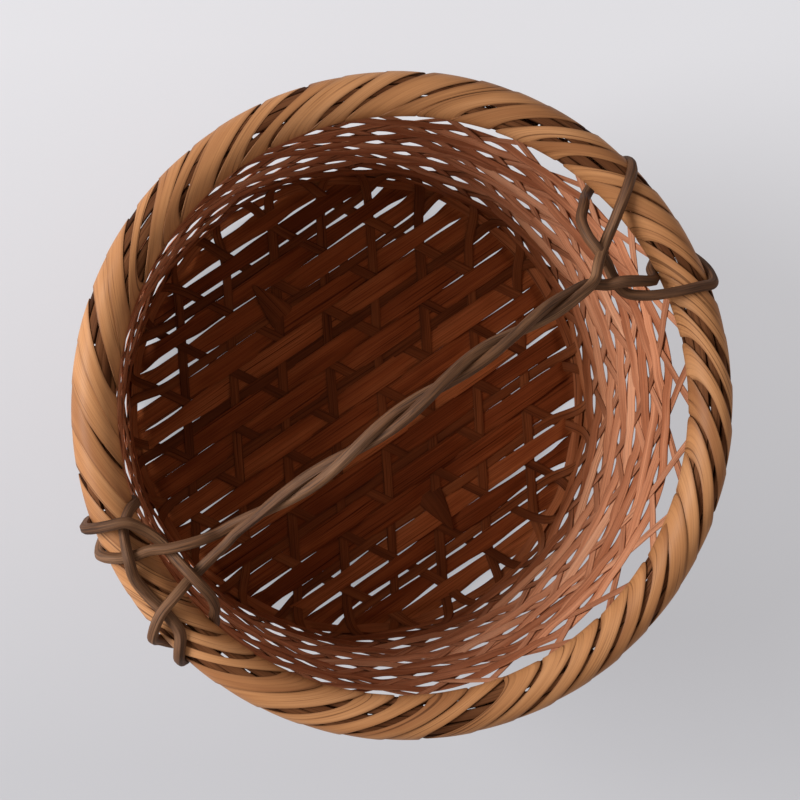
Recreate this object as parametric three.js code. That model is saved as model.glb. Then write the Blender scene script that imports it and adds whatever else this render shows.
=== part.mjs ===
// A round flower basket of split bamboo with a twisted vine handle.
//
// Three families of stakes cross in the floor at 60 degrees, over and under by turns.  Each
// stake is one strip: it climbs one wall, crosses the floor and climbs the other wall.  Wide
// slats are threaded through the floor, and their ends turn up into the fold.  Pairs of weavers
// fill the rows of crossings on the wall, all but the open row under the rim.  Two hoops clamp
// the stake ends, and two long strips are wound round them.  A single vine, doubled and twisted,
// makes the handle and its lashings.
//
// Millimetres, +Z up.  The origin is on the ground under the middle of the floor, and +X runs
// along the handle and the slats.

import * as THREE from "three";

// Driving dimensions
const FLOOR_RADIUS = 90; // flat part of the floor
const FOLD_RADIUS = 6; // bend where the floor turns up into the wall
const RIM_RADIUS = 116; // axis of the rolled rim
const RIM_RISE = 131; // rim axis above the middle layer of the floor
const OPEN_DROP = 28.5; // from the rim axis down to the crossings of the open row
const STAKE_WIDTH = 4;
const STAKE_THICKNESS = 0.6;
const WEAVER_THICKNESS = 0.6;
const SLAT_THICKNESS = 0.8;
const RIM_ROLL_RADIUS = 7.4; // corner radius of the six-sided roll of hoops
const STAKE_TAIL = 1.5; // stake left above the rim axis, between the hoops
const BINDING_WIDTH = 8.2;
const BINDING_THICKNESS = 0.9;
const VINE_RADIUS = 2.6;
const HANDLE_RISE = 47; // crown of the handle above the rim axis
const HANDLE_FOOT_RISE = 17; // where the two strands part, above the rim axis
const HANDLE_HALF_SPAN = 80; // from the crown to where the strands part
const CLEARANCE = 0.3; // between pieces that touch

// Counts
const STAKES_PER_FAMILY = 8;
const WALL_ROWS = 7; // rings of stake crossings on the wall, the highest left open
const HANDLE_HALF_TWISTS = 4;
const BINDING_STRIPS = 2; // binding strips, one lap of each in every gap between stakes
const ROLL_SIDES = 6;

// Colours
const STAKE_COLOUR = 0x7a4a2e;
const SLAT_COLOUR = 0x5a2f1f;
const WEAVER_COLOUR = 0xa8714c;
const HOOP_COLOUR = 0x6f4428;
const BINDING_COLOUR = 0xc79156;
const VINE_COLOUR = 0x7d6650;

// The lattice that the weave follows
const FULL_TURN = 2 * Math.PI;
const DEGREE = Math.PI / 180;
const SIXTY = 60 * DEGREE;
const HALF_FAMILY = STAKES_PER_FAMILY / 2;
const COLUMNS = 3 * STAKES_PER_FAMILY; // crossings in one ring of the wall
const COLUMN = FULL_TURN / COLUMNS;
const EDGE_MARGIN = 0.4; // pitches from the last floor crossing to the fold
const PITCH = FLOOR_RADIUS / (HALF_FAMILY + EDGE_MARGIN);
const CROSSING_STEP = PITCH / Math.sqrt(3); // between two crossings along a stake

// Each strip waves by this much, so that two crossing strips clear at the corners of the cross
const CROSSING_REACH = STAKE_WIDTH * Math.cos(SIXTY / 2);
const CROSSING_SHARE = 1 - (2 * CROSSING_REACH) / CROSSING_STEP;
const WAVE = (STAKE_THICKNESS + CLEARANCE) / (2 * CROSSING_SHARE);
const SLAT_LIFT = WAVE + STAKE_THICKNESS / 2 + CLEARANCE + SLAT_THICKNESS / 2;
const FLOOR_LEVEL = SLAT_LIFT + SLAT_THICKNESS / 2; // middle layer of the floor

// The wall leaves the fold as a straight line that ends at the rim axis
const RUN_OUT = RIM_RADIUS - FLOOR_RADIUS;
const RUN_UP = RIM_RISE - FOLD_RADIUS;
const FOLD_TO_RIM = Math.hypot(RUN_OUT, RUN_UP);
const WALL_LEAN = Math.atan2(RUN_OUT, RUN_UP) - Math.asin(FOLD_RADIUS / FOLD_TO_RIM);
const FOLD_TURN = FULL_TURN / 4 - WALL_LEAN;
const FOLD_END = FLOOR_RADIUS + FOLD_RADIUS * FOLD_TURN;
const RIM_REACH = FOLD_END + Math.sqrt(FOLD_TO_RIM ** 2 - FOLD_RADIUS ** 2);

// Rows count up the wall from the last crossing in the floor; the first half row clears the fold
const FIRST_ROW = 0.5;
const FIRST_REACH = FOLD_END + STAKE_WIDTH;
const ROW = (RIM_REACH - OPEN_DROP - FIRST_REACH) / (WALL_ROWS - FIRST_ROW);

// Above the open row's crossings the rows are taller, and the stakes cross again under the rim
const OPEN_ROW = OPEN_DROP - RIM_ROLL_RADIUS;
const RIM_ROW = WALL_ROWS + OPEN_DROP / OPEN_ROW;

function rowReach(row) {
  const open = Math.max(row - WALL_ROWS, 0);
  return FIRST_REACH + (row - open - FIRST_ROW) * ROW + open * OPEN_ROW;
}

// On the wall, the stakes that lean one way lie inside those that lean the other way
const WALL_LIFT = (STAKE_THICKNESS + CLEARANCE) / 2;
const STAKE_SAG = RIM_RADIUS * (1 - Math.cos(COLUMN / 4)); // of a straight stretch between two rows
const WEAVER_LIFT = WALL_LIFT + STAKE_THICKNESS / 2 + CLEARANCE + WEAVER_THICKNESS / 2;

// Radius, height and tilt of the middle layer at a distance from the floor's centre
function profile(reach) {
  if (reach <= FLOOR_RADIUS) {
    return { radius: reach, height: FLOOR_LEVEL, tilt: 0 };
  }
  const tilt = Math.min((reach - FLOOR_RADIUS) / FOLD_RADIUS, FOLD_TURN);
  const beyond = Math.max(reach - FOLD_END, 0);
  return {
    radius: FLOOR_RADIUS + FOLD_RADIUS * Math.sin(tilt) + beyond * Math.cos(tilt),
    height: FLOOR_LEVEL + FOLD_RADIUS * (1 - Math.cos(tilt)) + beyond * Math.sin(tilt),
    tilt,
  };
}

// A place on the basket: its point, lifted inwards from the middle layer, and its inward normal
function place(angle, reach, lift) {
  const { radius, height, tilt } = profile(reach);
  const outward = new THREE.Vector3(Math.cos(angle), Math.sin(angle), 0);
  const normal = outward.clone().multiplyScalar(-Math.sin(tilt));
  normal.z = Math.cos(tilt);
  const point = outward.multiplyScalar(radius);
  point.z = height;
  return { point: point.addScaledVector(normal, lift), normal };
}

const floorPlace = (x, y, lift) => place(Math.atan2(y, x), Math.hypot(x, y), lift);

// The four corners of a strip's section
function sectionCorners({ point, normal }, across, width, thickness) {
  return [[-1, -1], [1, -1], [1, 1], [-1, 1]].map(([side, face]) => {
    const corner = point.clone().addScaledVector(across, (side * width) / 2);
    return corner.addScaledVector(normal, (face * thickness) / 2);
  });
}

// A flat strip through a list of places, square to its own path
function stripGeometry(places, width, thickness, closed) {
  const count = places.length;
  const sections = places.map((spot, index) => {
    const before = places[closed ? (index + count - 1) % count : Math.max(index - 1, 0)];
    const after = places[closed ? (index + 1) % count : Math.min(index + 1, count - 1)];
    const along = after.point.clone().sub(before.point);
    const across = spot.normal.clone().cross(along).normalize();
    return sectionCorners(spot, across, width, thickness);
  });
  return joinSections(sections, closed);
}

// Four-cornered sections joined into one solid, closed into a ring or capped at its ends
function joinSections(sections, closed) {
  const count = sections.length;
  const faces = [];
  const links = closed ? count : count - 1;
  for (let link = 0; link < links; link += 1) {
    const here = 4 * link;
    const next = 4 * ((link + 1) % count);
    for (let side = 0; side < 4; side += 1) {
      const turned = (side + 1) % 4;
      faces.push(here + side, here + turned, next + turned);
      faces.push(here + side, next + turned, next + side);
    }
  }
  if (!closed) {
    const last = 4 * (count - 1);
    faces.push(0, 2, 1, 0, 3, 2);
    faces.push(last, last + 1, last + 2, last, last + 2, last + 3);
  }
  const geometry = new THREE.BufferGeometry().setFromPoints(sections.flat());
  geometry.setIndex(faces);
  return geometry;
}

const basket = new THREE.Group();

function addPiece(name, geometry, color, roughness) {
  const material = new THREE.MeshStandardMaterial({ color, roughness, metalness: 0 });
  const mesh = new THREE.Mesh(geometry, material);
  mesh.name = name;
  basket.add(mesh);
}

// Stakes

// The wall end of a stake, from the first half row up: one spot for each crossing, then the tail
function wallEnd(startAngle, lean) {
  const rows = [FIRST_ROW];
  for (let row = 1; row < RIM_ROW; row += 1) {
    rows.push(row);
  }
  rows.push(RIM_ROW + STAKE_TAIL / OPEN_ROW);
  return rows.map((row) => ({
    angle: startAngle + (lean * row * COLUMN) / 2,
    reach: rowReach(row),
    lift: lean * WALL_LIFT,
  }));
}

// Where a stake bends up from the floor, between its last floor crossing and the first half row
const FOLD_BENDS = [0.25, 0.75]; // shares of the way through the fold
function foldSpots(last, first) {
  return FOLD_BENDS.map((bend) => {
    const reach = THREE.MathUtils.lerp(FLOOR_RADIUS, FOLD_END, bend);
    const share = (reach - last.reach) / (first.reach - last.reach);
    const swing = Math.atan2(Math.sin(first.angle - last.angle), Math.cos(first.angle - last.angle));
    return { angle: last.angle + share * swing, reach, share };
  });
}

// Where a stake of one family meets the other two in the floor, from its far end to its near end
function floorCrossings(line) {
  const offset = (line + 0.5) * PITCH;
  const meets = [];
  for (let other = -HALF_FAMILY; other < HALF_FAMILY; other += 1) {
    const otherOffset = (other + 0.5) * PITCH;
    if (Math.abs(other - line) <= HALF_FAMILY) {
      meets.push((offset / 2 - otherOffset) / Math.sin(SIXTY));
    }
    if (Math.abs(other + line + 1) <= HALF_FAMILY) {
      meets.push(-(offset / 2 + otherOffset) / Math.sin(SIXTY));
    }
  }
  return meets.sort((a, b) => b - a).map((x) => ({ x, y: offset }));
}

// A stake from the top of one wall to the top of the other.  Every crossing in the floor changes
// sides, and the lift runs evenly through the fold.
function stakePlaces(direction, line) {
  const side = Math.sign(line + 0.5);
  const foot = (line + 0.5) * COLUMN;
  const near = wallEnd(direction + foot, -side);
  const far = wallEnd(direction + FULL_TURN / 2 - foot, side);
  const floor = floorCrossings(line).map(({ x, y }, index) => ({
    angle: direction + Math.atan2(y, x),
    reach: Math.hypot(x, y),
    lift: side * WAVE * (index % 2 === 0 ? -1 : 1),
  }));
  const fold = (last, first) => foldSpots(last, first).map((spot) => ({
    ...spot,
    lift: THREE.MathUtils.lerp(last.lift, first.lift, spot.share),
  }));
  const spots = [
    ...near.toReversed(),
    ...fold(floor[0], near[0]).reverse(),
    ...floor,
    ...fold(floor.at(-1), far[0]),
    ...far,
  ];
  return spots.map(({ angle, reach, lift }) => place(angle, reach, lift));
}

["a", "b", "c"].forEach((family, index) => {
  for (let line = -HALF_FAMILY; line < HALF_FAMILY; line += 1) {
    const places = stakePlaces(index * SIXTY, line);
    const geometry = stripGeometry(places, STAKE_WIDTH, STAKE_THICKNESS, false);
    addPiece(`stake_${family}_${line + HALF_FAMILY + 1}`, geometry, STAKE_COLOUR, 0.6);
  }
});

// Floor slats

const SLAT_WIDTH = PITCH / 2 - STAKE_WIDTH / 2 - 2 * CLEARANCE;
const SLAT_END_RADIUS = PITCH * (HALF_FAMILY + EDGE_MARGIN / 2);
const SLAT_TOP_REACH = FOLD_END - STAKE_WIDTH / 2;
const CROSSING_GAP = 2 * CROSSING_STEP; // between crossings along a slat
const ARM_SPREAD = (SLAT_WIDTH + CLEARANCE) / Math.tan(SIXTY);
const SLAT_FLAT = ARM_SPREAD + STAKE_WIDTH / 2 / Math.sin(SIXTY) + CLEARANCE;

// A slat lies flat over one pair of stakes and under the next pair.  Past the last crossing in
// the floor it keeps its side, and its ends turn up into the fold, most where it meets it squarely.
function slatPlaces(row, side) {
  const y = row * PITCH + side * (CLEARANCE + SLAT_WIDTH / 2);
  const outerEdge = Math.abs(y) + SLAT_WIDTH / 2;
  const turnUp = (SLAT_TOP_REACH - SLAT_END_RADIUS) * (1 - (y / FLOOR_RADIUS) ** 2);
  const halfLength = Math.sqrt((SLAT_END_RADIUS + turnUp) ** 2 - outerEdge ** 2);
  const shift = row % 2 === 0 ? 0.5 : 0;
  const bends = [];
  for (let column = -STAKES_PER_FAMILY; column <= STAKES_PER_FAMILY; column += 1) {
    const middle = (column + shift) * CROSSING_GAP;
    const lift = side * SLAT_LIFT * (column % 2 === 0 ? 1 : -1);
    if (Math.hypot(middle, y) < SLAT_END_RADIUS) {
      bends.push([middle - SLAT_FLAT, lift], [middle + SLAT_FLAT, lift]);
    }
  }
  const inner = bends.filter(([x]) => Math.hypot(x, y) < FLOOR_RADIUS && Math.abs(x) < halfLength);
  const ends = (end) => {
    const lift = inner.at(end < 0 ? 0 : -1)[1];
    const foldLift = lift + 2 * CLEARANCE * Math.sign(lift);
    const fold = Math.sqrt(FLOOR_RADIUS ** 2 - y ** 2);
    if (halfLength < fold) {
      return [[end * halfLength, lift]];
    }
    return [[end * fold, lift], [(end * (fold + halfLength)) / 2, foldLift], [end * halfLength, foldLift]];
  };
  const along = [...ends(-1).reverse(), ...inner, ...ends(1)];
  return along.map(([x, lift]) => floorPlace(x, y, lift));
}

let slatNumber = 0;
for (let row = -HALF_FAMILY; row <= HALF_FAMILY; row += 1) {
  for (const side of [-1, 1]) {
    const outermost = row * side === HALF_FAMILY;
    if (!outermost) {
      slatNumber += 1;
      const name = `floor_slat_${String(slatNumber).padStart(2, "0")}`;
      const geometry = stripGeometry(slatPlaces(row, side), SLAT_WIDTH, SLAT_THICKNESS, false);
      addPiece(name, geometry, SLAT_COLOUR, 0.65);
    }
  }
}

// Weavers on the wall

// Angle of a crossing in a row of the wall
const crossingAngle = (column, row) => (column + 0.5 + row / 2) * COLUMN;

const WEAVER_WIDTH = ROW / 2 - 2 * CLEARANCE;

// A ring weaver passes inside the arms of one crossing and outside the arms of the next.  It lies
// flat over each pair of arms, which spread by a share of half a column at its far edge.
function weaverPlaces(row, side, reach, spread) {
  const { radius } = profile(reach);
  const stakeSlope = Math.atan2(ROW, (COLUMN / 2) * radius);
  const armReach = (STAKE_WIDTH / 2 / Math.sin(stakeSlope) + CLEARANCE) / radius;
  const flat = (spread * COLUMN) / 2 + armReach;
  const flatSag = radius * (1 - Math.cos(flat));
  const places = [];
  for (let column = 0; column < COLUMNS; column += 1) {
    const middle = crossingAngle(column, row);
    const inside = column % 2 === 0 ? side : -side;
    const lift = inside * WEAVER_LIFT + (inside < 0 ? -flatSag : STAKE_SAG);
    places.push(place(middle - flat, reach, lift));
    places.push(place(middle + flat, reach, lift));
  }
  return places;
}

// The lowest weaver lies on the fold, and the others in pairs below and above each row of crossings
const FOLD_WEAVER_WIDTH = 0.9 * STAKE_WIDTH;
const FOLD_WEAVER_REACH = rowReach(FIRST_ROW) - CLEARANCE - FOLD_WEAVER_WIDTH / 2;
const FOLD_WEAVER_SPREAD = 0.66; // of the arms, in half columns
const weavers = [[weaverPlaces(0, 1, FOLD_WEAVER_REACH, FOLD_WEAVER_SPREAD), FOLD_WEAVER_WIDTH]];
for (let row = 1; row < WALL_ROWS; row += 1) {
  for (const side of [-1, 1]) {
    const reach = rowReach(row) + side * (CLEARANCE + WEAVER_WIDTH / 2);
    const spread = (CLEARANCE + WEAVER_WIDTH) / ROW;
    weavers.push([weaverPlaces(row, side, reach, spread), WEAVER_WIDTH]);
  }
}
weavers.forEach(([places, width], index) => {
  const name = `weaver_${String(index + 1).padStart(2, "0")}`;
  addPiece(name, stripGeometry(places, width, WEAVER_THICKNESS, true), WEAVER_COLOUR, 0.6);
});

// Rim hoops and core

const HOOP_FACETS = 2 * COLUMNS;
const HOOP_SAG = RIM_RADIUS * (1 - Math.cos(FULL_TURN / HOOP_FACETS / 2));
const STAKE_FACE = WALL_LIFT + STAKE_SAG + STAKE_THICKNESS / 2;
const HOOP_FACE = STAKE_FACE + CLEARANCE + HOOP_SAG; // off the middle layer
const ROLL_FLAT = RIM_ROLL_RADIUS * Math.cos(Math.PI / ROLL_SIDES);

// A ring turned about the basket's axis from a section given as lifts inwards and rises
function rimRing(section) {
  const outline = section.map(([lift, rise]) => {
    const { point } = place(0, RIM_REACH + rise, lift);
    return new THREE.Vector2(point.x, point.z);
  });
  if (THREE.ShapeUtils.isClockWise(outline)) {
    outline.reverse();
  }
  const ring = new THREE.LatheGeometry([...outline, outline[0]], HOOP_FACETS);
  return ring.rotateX(FULL_TURN / 4);
}

function hoopSection(side) {
  const half = RIM_ROLL_RADIUS / 2;
  return [
    [side * HOOP_FACE, -ROLL_FLAT],
    [side * half, -ROLL_FLAT],
    [side * RIM_ROLL_RADIUS, 0],
    [side * half, ROLL_FLAT],
    [side * HOOP_FACE, ROLL_FLAT],
  ];
}

addPiece("rim_hoop_inner", rimRing(hoopSection(1)), HOOP_COLOUR, 0.6);
addPiece("rim_hoop_outer", rimRing(hoopSection(-1)), HOOP_COLOUR, 0.6);

const TAIL_SLOPE = Math.atan2(OPEN_ROW, (COLUMN / 2) * RIM_RADIUS);
const CORE_FOOT = STAKE_TAIL + (STAKE_WIDTH / 2) * Math.cos(TAIL_SLOPE) + CLEARANCE;
const coreSection = [
  [-STAKE_FACE, CORE_FOOT],
  [STAKE_FACE, CORE_FOOT],
  [STAKE_FACE, ROLL_FLAT],
  [-STAKE_FACE, ROLL_FLAT],
];
addPiece("rim_core", rimRing(coreSection), HOOP_COLOUR, 0.6);

// Rim binding

const BINDING_OFFSET = CLEARANCE + HOOP_SAG + BINDING_THICKNESS / 2;
const CORNER_STRETCH = 1 / Math.cos(Math.PI / ROLL_SIDES);
const BINDING_RADIUS = RIM_ROLL_RADIUS + BINDING_OFFSET * CORNER_STRETCH;
const BINDING_FLAT = BINDING_RADIUS / CORNER_STRETCH;

// The laps pass under the roll, side by side, in the gaps between the crossings of the stakes
const LAP_RADIUS = profile(RIM_REACH - BINDING_FLAT).radius;
const LAP_GAP = 2 * CLEARANCE;

// Share of a lap's advance reached at each corner of the roll, from under the inside, over the
// top, to under the outside
const LAP_ADVANCE = [0, 0.12, 0.36, 0.68, 0.9, 1];
const LAP_EVENNESS = [0, 0.6, 1, 1, 0.6, 0]; // the strips lie close below and evenly on top
const FIRST_CORNER = -SIXTY;

// How much wider a slanted strip lies along the rim, at each corner of the roll
const LAP_SPREAD = LAP_ADVANCE.map((share, corner) => {
  const steps = [LAP_ADVANCE[corner - 1], LAP_ADVANCE[corner + 1]].map((other) => {
    const advance = other === undefined ? 0 : (other - share) * COLUMN * RIM_RADIUS;
    return Math.hypot(advance, BINDING_RADIUS) / BINDING_RADIUS;
  });
  return Math.min(...steps);
});

// One strip of the binding takes one gap between stakes after another, always in the same slot
function bindingSections(slot) {
  const sections = [];
  const fromMiddle = slot - (BINDING_STRIPS - 1) / 2;
  const closeAngle = (fromMiddle * (BINDING_WIDTH + LAP_GAP)) / LAP_RADIUS;
  const evenAngle = (fromMiddle * COLUMN) / BINDING_STRIPS;
  for (let lap = COLUMNS; lap > 0; lap -= 1) {
    LAP_ADVANCE.forEach((share, corner) => {
      const section = FIRST_CORNER + corner * SIXTY;
      const slotAngle = THREE.MathUtils.lerp(closeAngle, evenAngle, LAP_EVENNESS[corner]);
      const angle = crossingAngle(lap - share, WALL_ROWS) + slotAngle;
      const lift = BINDING_RADIUS * Math.cos(section);
      const rise = BINDING_RADIUS * Math.sin(section);
      const { point } = place(angle, RIM_REACH + rise, lift);
      const normal = point.clone().sub(place(angle, RIM_REACH, 0).point).normalize();
      const across = new THREE.Vector3(-Math.sin(angle), Math.cos(angle), 0);
      const width = (BINDING_WIDTH * LAP_SPREAD[corner] * Math.hypot(point.x, point.y)) / LAP_RADIUS;
      sections.push(sectionCorners({ point, normal }, across, width, BINDING_THICKNESS * CORNER_STRETCH));
    });
  }
  return sections;
}

const bindings = [];
for (let slot = 0; slot < BINDING_STRIPS; slot += 1) {
  bindings.push(bindingSections(slot));
  addPiece(`rim_binding_${slot + 1}`, joinSections(bindings[slot], false), BINDING_COLOUR, 0.45);
}

// Handle vine

const VINE_SEAT = BINDING_RADIUS + BINDING_THICKNESS + 2 * CLEARANCE + VINE_RADIUS; // off the rim axis
const STRAND_OFFSET = VINE_RADIUS + 2 * CLEARANCE;
const RIM_LEVEL = FLOOR_LEVEL + RIM_RISE;
const HANDLE_STATIONS = 16;

// A place beside the rim: degrees round the basket, degrees round the rim from its inner side
// over the top, and the distance from the rim axis in vine seats
function besideRim(around, over, seats = 1) {
  const lift = seats * VINE_SEAT * Math.cos(over * DEGREE);
  const rise = seats * VINE_SEAT * Math.sin(over * DEGREE);
  return place(around * DEGREE, RIM_REACH + rise, lift).point;
}

// A place in a knot: inwards from the rim's end on X, sideways along Y, and above the rim axis
function inKnot(end, inwards, sideways, above) {
  return new THREE.Vector3(end * (RIM_RADIUS - inwards), sideways, RIM_LEVEL + above);
}

const rightKnot = (inwards, sideways, above) => inKnot(1, inwards, sideways, above);
const leftKnot = (inwards, sideways, above) => inKnot(-1, inwards, sideways, above);

// One strand of the handle from the left foot to the right foot
function strand(side) {
  const points = [];
  for (let station = 0; station <= HANDLE_STATIONS; station += 1) {
    const share = (2 * station) / HANDLE_STATIONS - 1;
    const twist = (share * HANDLE_HALF_TWISTS * Math.PI) / 2;
    const fall = (HANDLE_RISE - HANDLE_FOOT_RISE) * share ** 2;
    const slope = (-2 * (HANDLE_RISE - HANDLE_FOOT_RISE) * share) / HANDLE_HALF_SPAN;
    const upright = new THREE.Vector3(-slope, 0, 1).normalize();
    const point = new THREE.Vector3(share * HANDLE_HALF_SPAN, 0, RIM_LEVEL + HANDLE_RISE - fall);
    point.y += side * STRAND_OFFSET * Math.sin(twist);
    points.push(point.addScaledVector(upright, side * STRAND_OFFSET * Math.cos(twist)));
  }
  return points;
}

// From the tucked tail: over the rim, across the left knot and round the rim to the left foot
const leftLoop = [
  besideRim(165.6, 205),
  besideRim(166, 185),
  besideRim(166.6, 140, 1.3),
  besideRim(167.2, 95, 1.5),
  leftKnot(9.5, 20.5, 17.2),
  leftKnot(14.2, 16.8, 13.2),
  leftKnot(18.6, 10, 10.2),
  leftKnot(19.6, 3, 9.6),
  leftKnot(18.8, -3.5, 13.2),
  leftKnot(19, -9.8, 15.2),
  leftKnot(18.4, -15.5, 14),
  leftKnot(17.5, -20.5, 9.5),
  besideRim(192.6, 5, 1.15),
  besideRim(194.4, 315),
  besideRim(195, 270),
  besideRim(192.4, 228),
  besideRim(189, 180),
  besideRim(187.4, 135, 1.35),
  besideRim(186.6, 96, 1.42),
  leftKnot(6.5, -11.4, 16.4),
  leftKnot(13, -10.2, 12.2),
  leftKnot(20, -8.8, 8.6),
  leftKnot(25.5, -6.2, 11.4),
  leftKnot(30.5, -3.2, 17),
];

// From the right foot: over the rim, back across the right knot, over the rim again and back
const rightLoop = [
  rightKnot(29.5, 3.2, 17),
  rightKnot(25, 6.2, 11.6),
  rightKnot(20.4, 9.6, 8.2),
  rightKnot(13.5, 14.8, 9.2),
  besideRim(11.6, 90, 0.94),
  besideRim(12.4, 135),
  besideRim(13, 180),
  besideRim(14.2, 225),
  besideRim(15, 270),
  besideRim(14.6, 315),
  besideRim(13.4, 5, 1.15),
  rightKnot(17.5, 20.5, 9.5),
  rightKnot(18.4, 15.5, 14),
  rightKnot(18.8, 9.8, 15.6),
  rightKnot(18.6, 3.5, 13.6),
  rightKnot(20.4, -3, 9.6),
  rightKnot(19.8, -10, 9.4),
  rightKnot(14.2, -17.5, 10.8),
  besideRim(-11.8, 90, 0.94),
  besideRim(-12.2, 135),
  besideRim(-9.6, 180),
  besideRim(-4.4, 225),
  besideRim(0, 268),
  besideRim(-1.4, 315),
  besideRim(-4.4, 10, 1.02),
  rightKnot(14.4, -4.6, 12.4),
  rightKnot(19.6, -4, 16.4),
  rightKnot(25, -4.6, 16.6),
  rightKnot(30.5, -3.6, 14.4),
];

// From the left foot: over the rim and round it, then along the rim's top to the tucked end
const leftTie = [
  leftKnot(30.5, 3.6, 14.4),
  leftKnot(25, 4.6, 16.6),
  leftKnot(19.6, 4, 16.4),
  leftKnot(13, 7, 14.6),
  leftKnot(7, 10.5, 12.8),
  besideRim(173.8, 95, 0.94),
  besideRim(172.4, 140),
  besideRim(171.2, 185),
  besideRim(169, 230),
  besideRim(165, 272),
  besideRim(164.8, 315),
  besideRim(166.2, 5),
  besideRim(166.2, 45),
  besideRim(167.8, 78, 0.95),
  besideRim(170.6, 88, 1.2),
  besideRim(173.8, 92, 1.42),
  besideRim(177.4, 97, 1.14),
  besideRim(181.5, 98, 0.92),
  besideRim(186.2, 92, 0.92),
  besideRim(190, 98, 0.92),
  besideRim(192.6, 135),
  besideRim(193.8, 170),
  besideRim(194.8, 200),
];

const vinePoints = [
  ...leftLoop,
  ...strand(1),
  ...rightLoop,
  ...strand(-1).reverse(),
  ...leftTie,
];
const VINE_STEP = 6.5;
const VINE_SIDES = 6;
const vineCurve = new THREE.CatmullRomCurve3(vinePoints, false, "centripetal");
vineCurve.arcLengthDivisions = 4000;
const vineSteps = Math.round(vineCurve.getLength() / VINE_STEP);
const vineSection = new THREE.Shape().absarc(0, 0, VINE_RADIUS, 0, FULL_TURN);
addPiece("handle_vine", new THREE.ExtrudeGeometry(vineSection, {
  extrudePath: vineCurve,
  steps: vineSteps,
  curveSegments: VINE_SIDES / 2,
  bevelEnabled: false,
}), VINE_COLOUR, 0.7);

// Least gaps, measured on points: of the vine to itself, and between the binding's laps

function vineGap() {
  const finePoints = vineCurve.getSpacedPoints(4 * vineSteps);
  const spacing = VINE_STEP / 4;
  const apart = Math.ceil((FULL_TURN * VINE_RADIUS) / spacing);
  let least = Infinity;
  finePoints.forEach((point, index) => {
    for (let other = index + apart; other < finePoints.length; other += 1) {
      least = Math.min(least, point.distanceTo(finePoints[other]));
    }
  });
  return least - 2 * VINE_RADIUS;
}

function bindingGap() {
  let least = Infinity;
  LAP_ADVANCE.forEach((share, corner) => {
    const laps = bindings.flat().filter((section, index) => index % LAP_ADVANCE.length === corner);
    laps.forEach((lap, index) => {
      for (const other of laps.slice(index + 1)) {
        least = Math.min(least, lap[0].distanceTo(other[1]), lap[1].distanceTo(other[0]));
      }
    });
  });
  return least;
}

console.log(`vine: ${vineCurve.getLength().toFixed(0)} mm long, least gap ${vineGap().toFixed(2)} mm`);
console.log(`binding: ${BINDING_WIDTH.toFixed(1)} mm wide, least gap ${bindingGap().toFixed(2)} mm`);

export default basket;
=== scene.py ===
# %% [markdown]
# # A bamboo flower basket
#
# The real object is a round basket of split bamboo. Narrow stakes cross in the floor in three
# directions and climb the wall, wide slats and ring weavers are threaded through them, a bundle of
# splints is wound with bamboo skin to make the rim, and one vine is doubled and twisted into a handle.
#
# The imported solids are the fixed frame. They have the right places and straight facets. This lesson
# lays a finer strip over each of them, in the same place, and gives each strip its grain.

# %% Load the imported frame
import math

import bpy
import numpy as np
from mathutils import Matrix, Vector


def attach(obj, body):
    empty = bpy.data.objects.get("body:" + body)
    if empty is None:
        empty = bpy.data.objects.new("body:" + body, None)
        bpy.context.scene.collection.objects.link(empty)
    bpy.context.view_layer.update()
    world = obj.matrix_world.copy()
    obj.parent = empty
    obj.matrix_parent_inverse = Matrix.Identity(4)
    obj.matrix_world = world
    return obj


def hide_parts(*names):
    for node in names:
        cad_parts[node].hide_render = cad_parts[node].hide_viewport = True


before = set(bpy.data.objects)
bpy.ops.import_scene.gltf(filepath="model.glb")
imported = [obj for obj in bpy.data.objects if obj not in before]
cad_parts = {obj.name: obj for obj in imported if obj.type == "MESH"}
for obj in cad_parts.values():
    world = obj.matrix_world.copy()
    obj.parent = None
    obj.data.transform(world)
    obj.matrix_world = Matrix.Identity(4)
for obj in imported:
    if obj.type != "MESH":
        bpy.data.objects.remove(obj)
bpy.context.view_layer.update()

# %% [markdown]
# ## The camera
#
# The photograph looks down into the basket from about a metre above the rim, a little off the
# vertical. The rim's circle gives the scale, and the floor's smaller and shifted circle gives the
# distance and the tilt. The handle lies across the picture at an angle, so the camera is also rolled.

# %% Place the camera
MM = 0.001
RIM_LEVEL = 0.1335
PICTURE_TURN = math.radians(34.0)  # from the picture's right hand to the handle
CAMERA_TILT = math.radians(8.9)
CAMERA_DISTANCE = 1.025
SCALE_AT_RIM = 2690.0  # pixels in a metre at the rim
PICTURE_WIDTH = 800.0
SENSOR = 36.0
AIM_LEFT = 0.0029  # from the rim's middle to the middle of the picture
AIM_UP = 0.0021
NEAREST = 0.05  # nothing closer to the camera is drawn

picture_right = Vector((math.cos(PICTURE_TURN), -math.sin(PICTURE_TURN), 0))
picture_up = Vector((math.sin(PICTURE_TURN), math.cos(PICTURE_TURN), 0))
target = Vector((0, 0, RIM_LEVEL)) - picture_right * AIM_LEFT + picture_up * AIM_UP
away = Vector((0, 0, 1)) * math.cos(CAMERA_TILT) - picture_right * math.sin(CAMERA_TILT)
bpy.ops.object.camera_add(location=target + away * CAMERA_DISTANCE)
camera = bpy.context.object
camera.name = "camera"
side = picture_up.cross(away).normalized()
turned = Matrix((side, away.cross(side), away)).transposed()
camera.rotation_euler = turned.to_euler()
camera.data.sensor_width = SENSOR
camera.data.lens = SCALE_AT_RIM * CAMERA_DISTANCE / PICTURE_WIDTH * SENSOR
camera.data.clip_start = NEAREST
camera.data.dof.use_dof = False
bpy.context.scene.camera = camera
print("camera at", [round(x, 3) for x in camera.location], "lens", round(camera.data.lens, 1))

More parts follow.
